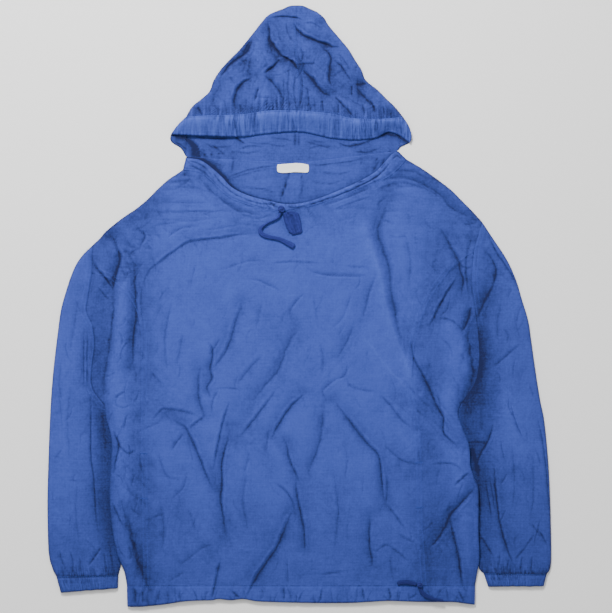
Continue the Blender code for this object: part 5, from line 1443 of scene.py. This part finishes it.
def hood_brim():
    """Face of the casing with its rolled free edge, ridged across by the gathers."""
    columns = even(460)
    up, down = band_section(26, 0.10)
    top, bottom = along(BRIM_SEAM, columns), along(smooth(BRIM_EDGE), columns)
    face = even(20)
    left, right = along(smooth(BRIM_END_LEFT), face), along(smooth(BRIM_END_RIGHT), face)
    left[-1], right[-1], bottom[0], bottom[-1] = top[0], top[-1], left[0], right[0]
    ends = np.vstack([left, right[::-1]])
    xy = patch(left, right, bottom, top)
    rank = up * (len(xy) - 1)
    low_row = np.minimum(rank.astype(int)[:, 0], len(xy) - 2)
    part = (rank[:, 0] - low_row)[:, None, None]
    xy = xy[low_row] * (1 - part) + xy[low_row + 1] * part
    away = np.minimum(distance(xy, left), distance(xy, right))
    gather = gathered(xy[..., 0] / 0.36, up * 0.8, 62, 81)
    washed = crumpled(xy, 1.0)
    stitched = np.exp(-((up - 0.93) / 0.04) ** 2) + 0.5 * np.exp(-((up - 0.15) / 0.04) ** 2)
    detail = BRIM_GATHER * gather * (0.55 + 0.45 * np.abs(2 * up - 1)) - 0.0004 * stitched + 0.5 * washed[0]
    at_left = 1 - ease((xy[..., 0] + 0.120) / 0.05)
    sag = (0.0095 - 0.0030 * at_left) * (1 - ease(up * 1.2))
    height = BRIM_END_LOFT + (HOOD_LOFT + 0.0009 - sag - BRIM_END_LOFT) * roll(away, BRIM_ROLL)
    height = height + detail + 0.0007 * np.sin(np.pi * up) ** 0.6 - (BAND + 0.0006) * down
    # Tone: painted light and shade of the gathers, painted shade on the stitch lines, under the rolled free
    # edge (most at the left) and at both ends, and paler all over.
    return raised(xy, height), (np.minimum(1.5 * gather, 0.2) + 0.52 + washed[1] - 0.35 * stitched
                                - (0.1 + 0.8 * at_left) * down - 0.5 * np.exp(-(away / 0.0018) ** 2))


def brim_end(side):
    """The casing's end, turned under to the neck: flat beside the hood, with shallow gathers."""
    turn = smooth(BRIM_TURN[side])
    outer = along(turn, even(44))[1:-1]
    inner = (turn[0] + even(44)[:, None] * (turn[-1] - turn[0]))[1:-1]
    sides = (outer, inner) if side == "left" else (inner, outer)
    across = even(24)
    xy = patch(sides[0][::-1], sides[1][::-1], along(np.array([sides[0][-1], sides[1][-1]]), across),
               along(np.array([sides[0][0], sides[1][0]]), across))
    gather, washed = gathered(even(42)[:, None] + 0 * across, across, 5, 91), crumpled(xy, 0.7)
    shade = creased(xy, INSIDE_CREASES, 1.6)[1] - 0.8 * np.exp(-(distance(xy, outer) / 0.0016) ** 2)
    height = CLOTH + 0.0005 + np.clip(washed[0] + 0.0006 * gather, -0.0004, 0.0016)
    # Painted shade darkens the whole end, most along its outer edge; the gathers' tone is their painted light
    # and shade.
    return raised(xy, height * roll(distance(xy, outer), 0.002)), washed[1] + 0.4 * gather + shade - 0.35


brim_grid, brim_relief = hood_brim()
brim = surface("hood_brim_band", brim_grid, casing_finish, ["hood_brim"], brim_relief)
for side in BRIM_TURN:
    end_grid, end_relief = brim_end(side)
    end = surface("brim_turned_" + side, end_grid, casing_finish, ["brim_end_" + side],
                  end_relief)

# ------------------------------------------------------------ neck casing
# A straight strip sewn to the front neckline with the drawstring in it, which puckers it most
# where it comes out. Its free edge is rolled.
CASING_BULGE = ((0, .25, .6, .9, 1), (0, .0010, .0013, .0003, -.0008))
CASING_ROLL = 0.0160
CASING_CREASES = [Crease(*row) for row in (
    ([(189, 161), (199, 164), (208, 170)], 2.2, 1.4, .4),
    ([(186, 165), (196, 168), (204, 172), (210, 178)], 2.4, 1.2, -.4),
    ([(213, 172), (220, 182), (228, 189)], 2.2, 1.2, .4),
    ([(224, 185), (234, 194), (246, 199)], 2.2, 1.2, -.4),
    ([(243, 198), (256, 203), (268, 205)], 2.2, 1.2, .4),
    ([(262, 203), (274, 206), (280, 208)], 2.2, 1.3, -.4),
    ([(268, 203), (276, 205)], 2.0, 1.2, .4),
    ([(286, 206), (296, 208), (308, 205)], 2.2, 1.2, .4),
    ([(306, 206), (322, 201), (336, 196)], 2.4, 1.9, -.5),
    ([(330, 199), (344, 193), (360, 187)], 2.4, 1.9, -.5),
    ([(352, 189), (368, 182), (380, 174)], 2.6, 2.1, -.5),
    ([(372, 181), (382, 172), (390, 163)], 2.6, 2.1, -.5),
    ([(356, 184), (366, 180)], 2.2, 1.2, .4),
    ([(380, 169), (386, 163)], 2.2, 1.4, .4),
    ([(391, 160), (397, 156), (402, 160)], 2.6, 1.8, -.4),
)]


def casing_surface():
    """Strip from the casing seam to the neckline, with its rolled edge and its puckers."""
    columns = even(340)
    up, down = band_section(22, 0.10)
    up, down = 1 - up[::-1], down[::-1]
    bottom, top = along(CASING_SEAM, columns), along(smooth(NECKLINE), columns)
    xy = bottom + up[..., None] * (top - bottom)
    ends = np.minimum(distance(xy, xy[:, 0]), distance(xy, xy[:, -1]))
    from_tie = np.linalg.norm(xy - plan(NECK_KNOT), axis=-1)
    pucker = gathered(columns + 0 * up, up, 30, 101) * (0.35 + 0.8 * np.exp(-(from_tie / 0.035) ** 2))
    stitched = np.exp(-((up - 0.14) / 0.06) ** 2)
    calm = ease((from_tie - 0.006) / 0.008)
    at_left = 1 - ease((xy[..., 0] + 0.05) / 0.03)
    washed = crumpled(xy, 1.3, 1.2, 0.5, 1.3)
    pleats = creased(xy, CASING_CREASES, 1.2)
    detail = (0.0007 * pucker + 0.5 * pleats[0] - 0.0003 * stitched + 0.5 * washed[0]) * calm
    low = BAND + CLOTH + 2 * SEAM
    base = np.maximum(LOFT + folded(bottom, BODY_FOLDS), PAIR + SEAM)
    high = base + np.interp(up, *CASING_BULGE) + detail - 0.0016 * down
    # Tone: painted light and shade of the puckers and creases, painted shade on the stitch line, under the
    # rolled free edge (most at the left) and at both ends.
    return (raised(xy, low + (high - low) * roll(ends, CASING_ROLL)),
            0.1 + 0.8 * pucker * calm + washed[1] + pleats[1] - 0.2 * stitched
            - (0.6 + 0.9 * at_left) * down
            - 0.8 * np.exp(-(ends / 0.0020) ** 2))


casing_grid, casing_relief = casing_surface()
neck_band = surface("neck_band", casing_grid, cotton_finish, ["neck_casing"], casing_relief)

# ------------------------------------------------------------ label
# A blank woven label inside the back neck, sewn along its upper edge.
LABEL_SIZE = (0.0510, 0.0145, 0.0008)
LABEL_AT = (293, 168.2)


def label_surface():
    """Small rectangle with softly rounded ends, slightly curled along its lower edge."""
    across, up = even(40)[None, :] - 0.5, even(14)[:, None] - 0.5
    x = plan(LABEL_AT)[0] + across * LABEL_SIZE[0] * (1 - 0.05 * np.abs(2 * up) ** 3)
    wave = 0.0007 * np.sin(7 * across + 0.8) + 0.0003 * noise(across * 9 + 3, across * 0, 111)
    y = plan(LABEL_AT)[1] + up * LABEL_SIZE[1] * (1 - 0.16 * np.abs(2 * across) ** 6) + wave
    curl = 0.0003 * ease(-2.4 * up - 0.2) + 0.00015 * noise(across * 7 + 2, up * 2, 112)
    height = CLOTH + SEAM + LABEL_SIZE[2] + curl * (np.abs(across) < 0.49)
    return np.dstack([x, y, height]), -0.6 * (np.abs(up) > 0.44) + 0 * across


def satin(name, colour):
    """Woven satin: fine threads along the label."""
    cloth = Finish(name, colour, Roughness=0.55, Sheen_Weight=0.1)
    where = cloth.node("ShaderNodeTexCoord", out="Object")
    stretched = cloth.node("ShaderNodeVectorMath", {"operation": "MULTIPLY"}, where, (120, 2600, 100))
    threads = cloth.node("ShaderNodeTexNoise", None, Vector=stretched, Scale=1.0, Detail=2.0)
    relief = cloth.node("ShaderNodeAttribute", {"attribute_name": "relief"}, out="Fac")
    shade = [c * 0.86 for c in colour]
    tinted = cloth.node("ShaderNodeValToRGB", {"stops": ((0.1, shade), (0.7, colour))},
                        threads + relief * 0.3)
    cloth.feed(cloth.shader.inputs["Base Color"], tinted)
    bump = cloth.node("ShaderNodeBump", None, Strength=1.0, Distance=1.0, Height=threads * 0.0001)
    cloth.feed(cloth.shader.inputs["Normal"], bump)
    return cloth.material


label_grid, label_relief = label_surface()
label = surface("blank_label", label_grid, satin("label_white", (0.92, 0.94, 0.96)), ["label"],
                label_relief, thick=LABEL_SIZE[2] * 0.9)

# ------------------------------------------------------------ stitching
# Topstitching in thread of the cloth's own colour: two rows beside each princess seam and armhole,
# one on each side of the crown seam and one along each casing. Bar tacks cross the pockets' ends,
# and two short rows stand where the hem's drawstring comes out.
PITCH, STITCH = 0.0034, (0.0025, 0.00062, 0.00036)
TACK_PITCH, TACK_STITCH = 0.0012, (0.0014, 0.0006, 0.0005)
POCKET_ENDS = {"left": (453, 498), "right": (462, 507)}
SEEN_ARMHOLE = 0.54              # share of the right armhole that is in sight
STITCHED_AT = 0.93               # share of a hem's or cuff's rows at which its stitches lie
ARMHOLE_ROWS = (0.0022, 0.0088)
NECK_ROW, CROWN_ROWS, BRIM_ROW = -0.0020, (-0.0040, 0.0040), 0.0020
EXIT_COLUMNS, EXIT_ROWS = (411.6, 414.6), (587.5, 600)
HEM_ROWS = (605, 20)             # row of the hem's lower edge there, and rows up to its seam
THREAD_BLUE = (0.036, 0.068, 0.350)
THREAD_TONES = ((0.3, (0.026, 0.049, 0.27)), (0.7, (0.044, 0.082, 0.40)))
# A stitch: a four-sided bead, pointed at both ends, 1 long, wide and high.
BEAD = np.array([(-.5, 0, 0), (-.3, -.5, 0), (-.3, 0, .5), (-.3, .5, 0), (-.3, 0, -.5),
                 (.3, -.5, 0), (.3, 0, .5), (.3, .5, 0), (.3, 0, -.5), (.5, 0, 0)])
BEAD_FACES = np.array([(0, 2, 1), (0, 3, 2), (0, 4, 3), (0, 1, 4), (1, 2, 6), (1, 6, 5), (2, 3, 7),
                       (2, 7, 6), (3, 4, 8), (3, 8, 7), (4, 1, 5), (4, 5, 8), (9, 5, 6), (9, 6, 7),
                       (9, 7, 8), (9, 8, 5)])

thread = Finish("thread_blue", THREAD_BLUE, Roughness=0.8, Specular_IOR_Level=0.15)
thread_noise = thread.node("ShaderNodeTexNoise", None, Vector=thread.node("ShaderNodeTexCoord", out="Object"),
                           Scale=900.0, Detail=2.0)
thread_tone = thread.node("ShaderNodeValToRGB", {"stops": THREAD_TONES}, thread_noise)
thread.feed(thread.shader.inputs["Base Color"], thread_tone)


def beside(line, amount):
    """The line shifted to its left by an amount."""
    run = unit(np.gradient(line, axis=0))
    return line + amount * np.column_stack([-run[:, 1], run[:, 0]])


def stitched_rows(name, rows, pitch=PITCH, size=STITCH):
    """Beads along lines that carry their heights, as one mesh."""
    centres, runs = [], []
    for line in rows:
        total = lengths(line)[-1]
        at = (np.arange(int(total / pitch)) + 0.5) * pitch / total
        jitter = 0.06 * noise(at * 57, at * 0, 7) * pitch / total
        centres.append(along(line, at + jitter))
        runs.append(along(line, at + 0.3 * pitch / total) - along(line, at - 0.3 * pitch / total))
    centre, run = np.vstack(centres), unit(np.vstack(runs))
    side = unit(np.cross((0, 0, 1), run))
    up = np.cross(run, side)
    points = centre[:, None] + sum(BEAD[None, :, k, None] * size[k] * axis[:, None]
                                   for k, axis in enumerate((run, side, up)))
    faces = BEAD_FACES[None] + 10 * np.arange(len(centre))[:, None, None]
    mesh = bpy.data.meshes.new(name)
    mesh.from_pydata(points.reshape(-1, 3), [], faces.reshape(-1, 3))
    mesh.shade_smooth()
    mesh.materials.append(thread.material)
    made = bpy.data.objects.new(name, mesh)
    bpy.context.scene.collection.objects.link(made)
    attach(made, "root")


def lifted(line, height, proud=0.00012):
    """A plan line with the height of the cloth under it."""
    return np.column_stack([line, height + proud])


def spread(line):
    """The line resampled every 1.5 mm."""
    return along(line, even(max(2, int(lengths(line)[-1] / 0.0015))))


for side, (armhole, princess, above, below) in CUTS.items():
    inward = -1 if side == "left" else 1
    lines = [spread(beside(princess[:-2], inward * away)) for away in SEAM_ROWS]
    stitched_rows("princess_stitches_" + side, [lifted(line, front_height(line)[0]) for line in lines])
    shown = armhole[4:-6] if side == "left" else armhole[4:int(SEEN_ARMHOLE * len(armhole))]
    lines = [spread(beside(shown, inward * away)) for away in ARMHOLE_ROWS]
    stitched_rows("armhole_stitches_" + side, [lifted(line, sleeve_height(line, side)[0]) for line in lines])
    seam = np.array((PRINCESS_LEFT if side == "left" else PRINCESS_RIGHT)[:4])
    tacks = []
    for row in POCKET_ENDS[side]:
        column = np.interp(-row, -seam[:, 1], seam[:, 0])
        across = spread(plan([(column - 1, row), (column + 7, row + 0.5)] if side == "left" else
                             [(column - 7, row + 0.5), (column + 1, row)]))
        tacks += [lifted(across + (0, k * 0.0006), front_height(across)[0]) for k in (-1, 0, 1)]
    stitched_rows("bar_tacks_" + side, tacks, TACK_PITCH, TACK_STITCH)

neck_line = spread(beside(CASING_SEAM, NECK_ROW))
stitched_rows("neck_stitches", [lifted(neck_line, front_height(neck_line)[0])])
crown_lines = [spread(beside(CROWN[6:-8], away)) for away in CROWN_ROWS]
stitched_rows("crown_stitches", [lifted(line, hood_height(line)[0]) for line in crown_lines])
brim_line = spread(beside(BRIM_SEAM[4:-4], BRIM_ROW))
stitched_rows("brim_stitches", [lifted(brim_line, hood_height(brim_line)[0])])


def on_grid(grid, share):
    """Row of a grid at a share of its rows."""
    at = share * (len(grid) - 1)
    low = int(at)
    return grid[low] * (1 + low - at) + grid[low + 1] * (at - low)


stitched_rows("hem_stitches", [on_grid(hem_grid[:, :401], STITCHED_AT) + (0, 0, 0.0001)])
for side in SLEEVES:
    cuff_row = cuff(side)[0][:, :201]
    stitched_rows("cuff_stitches_" + side, [on_grid(cuff_row, STITCHED_AT) + (0, 0, 0.0001)])
exit_lines = []
for column in EXIT_COLUMNS:
    line = spread(plan([(column, row) for row in EXIT_ROWS]))
    up = (HEM_ROWS[0] + (line[:, 1] / STEP - MIDDLE[1])) / HEM_ROWS[1]
    exit_lines.append(lifted(line, hem_height(line, up, line[:, 0] * 0)[0]))
stitched_rows("tie_exit_stitches", exit_lines)
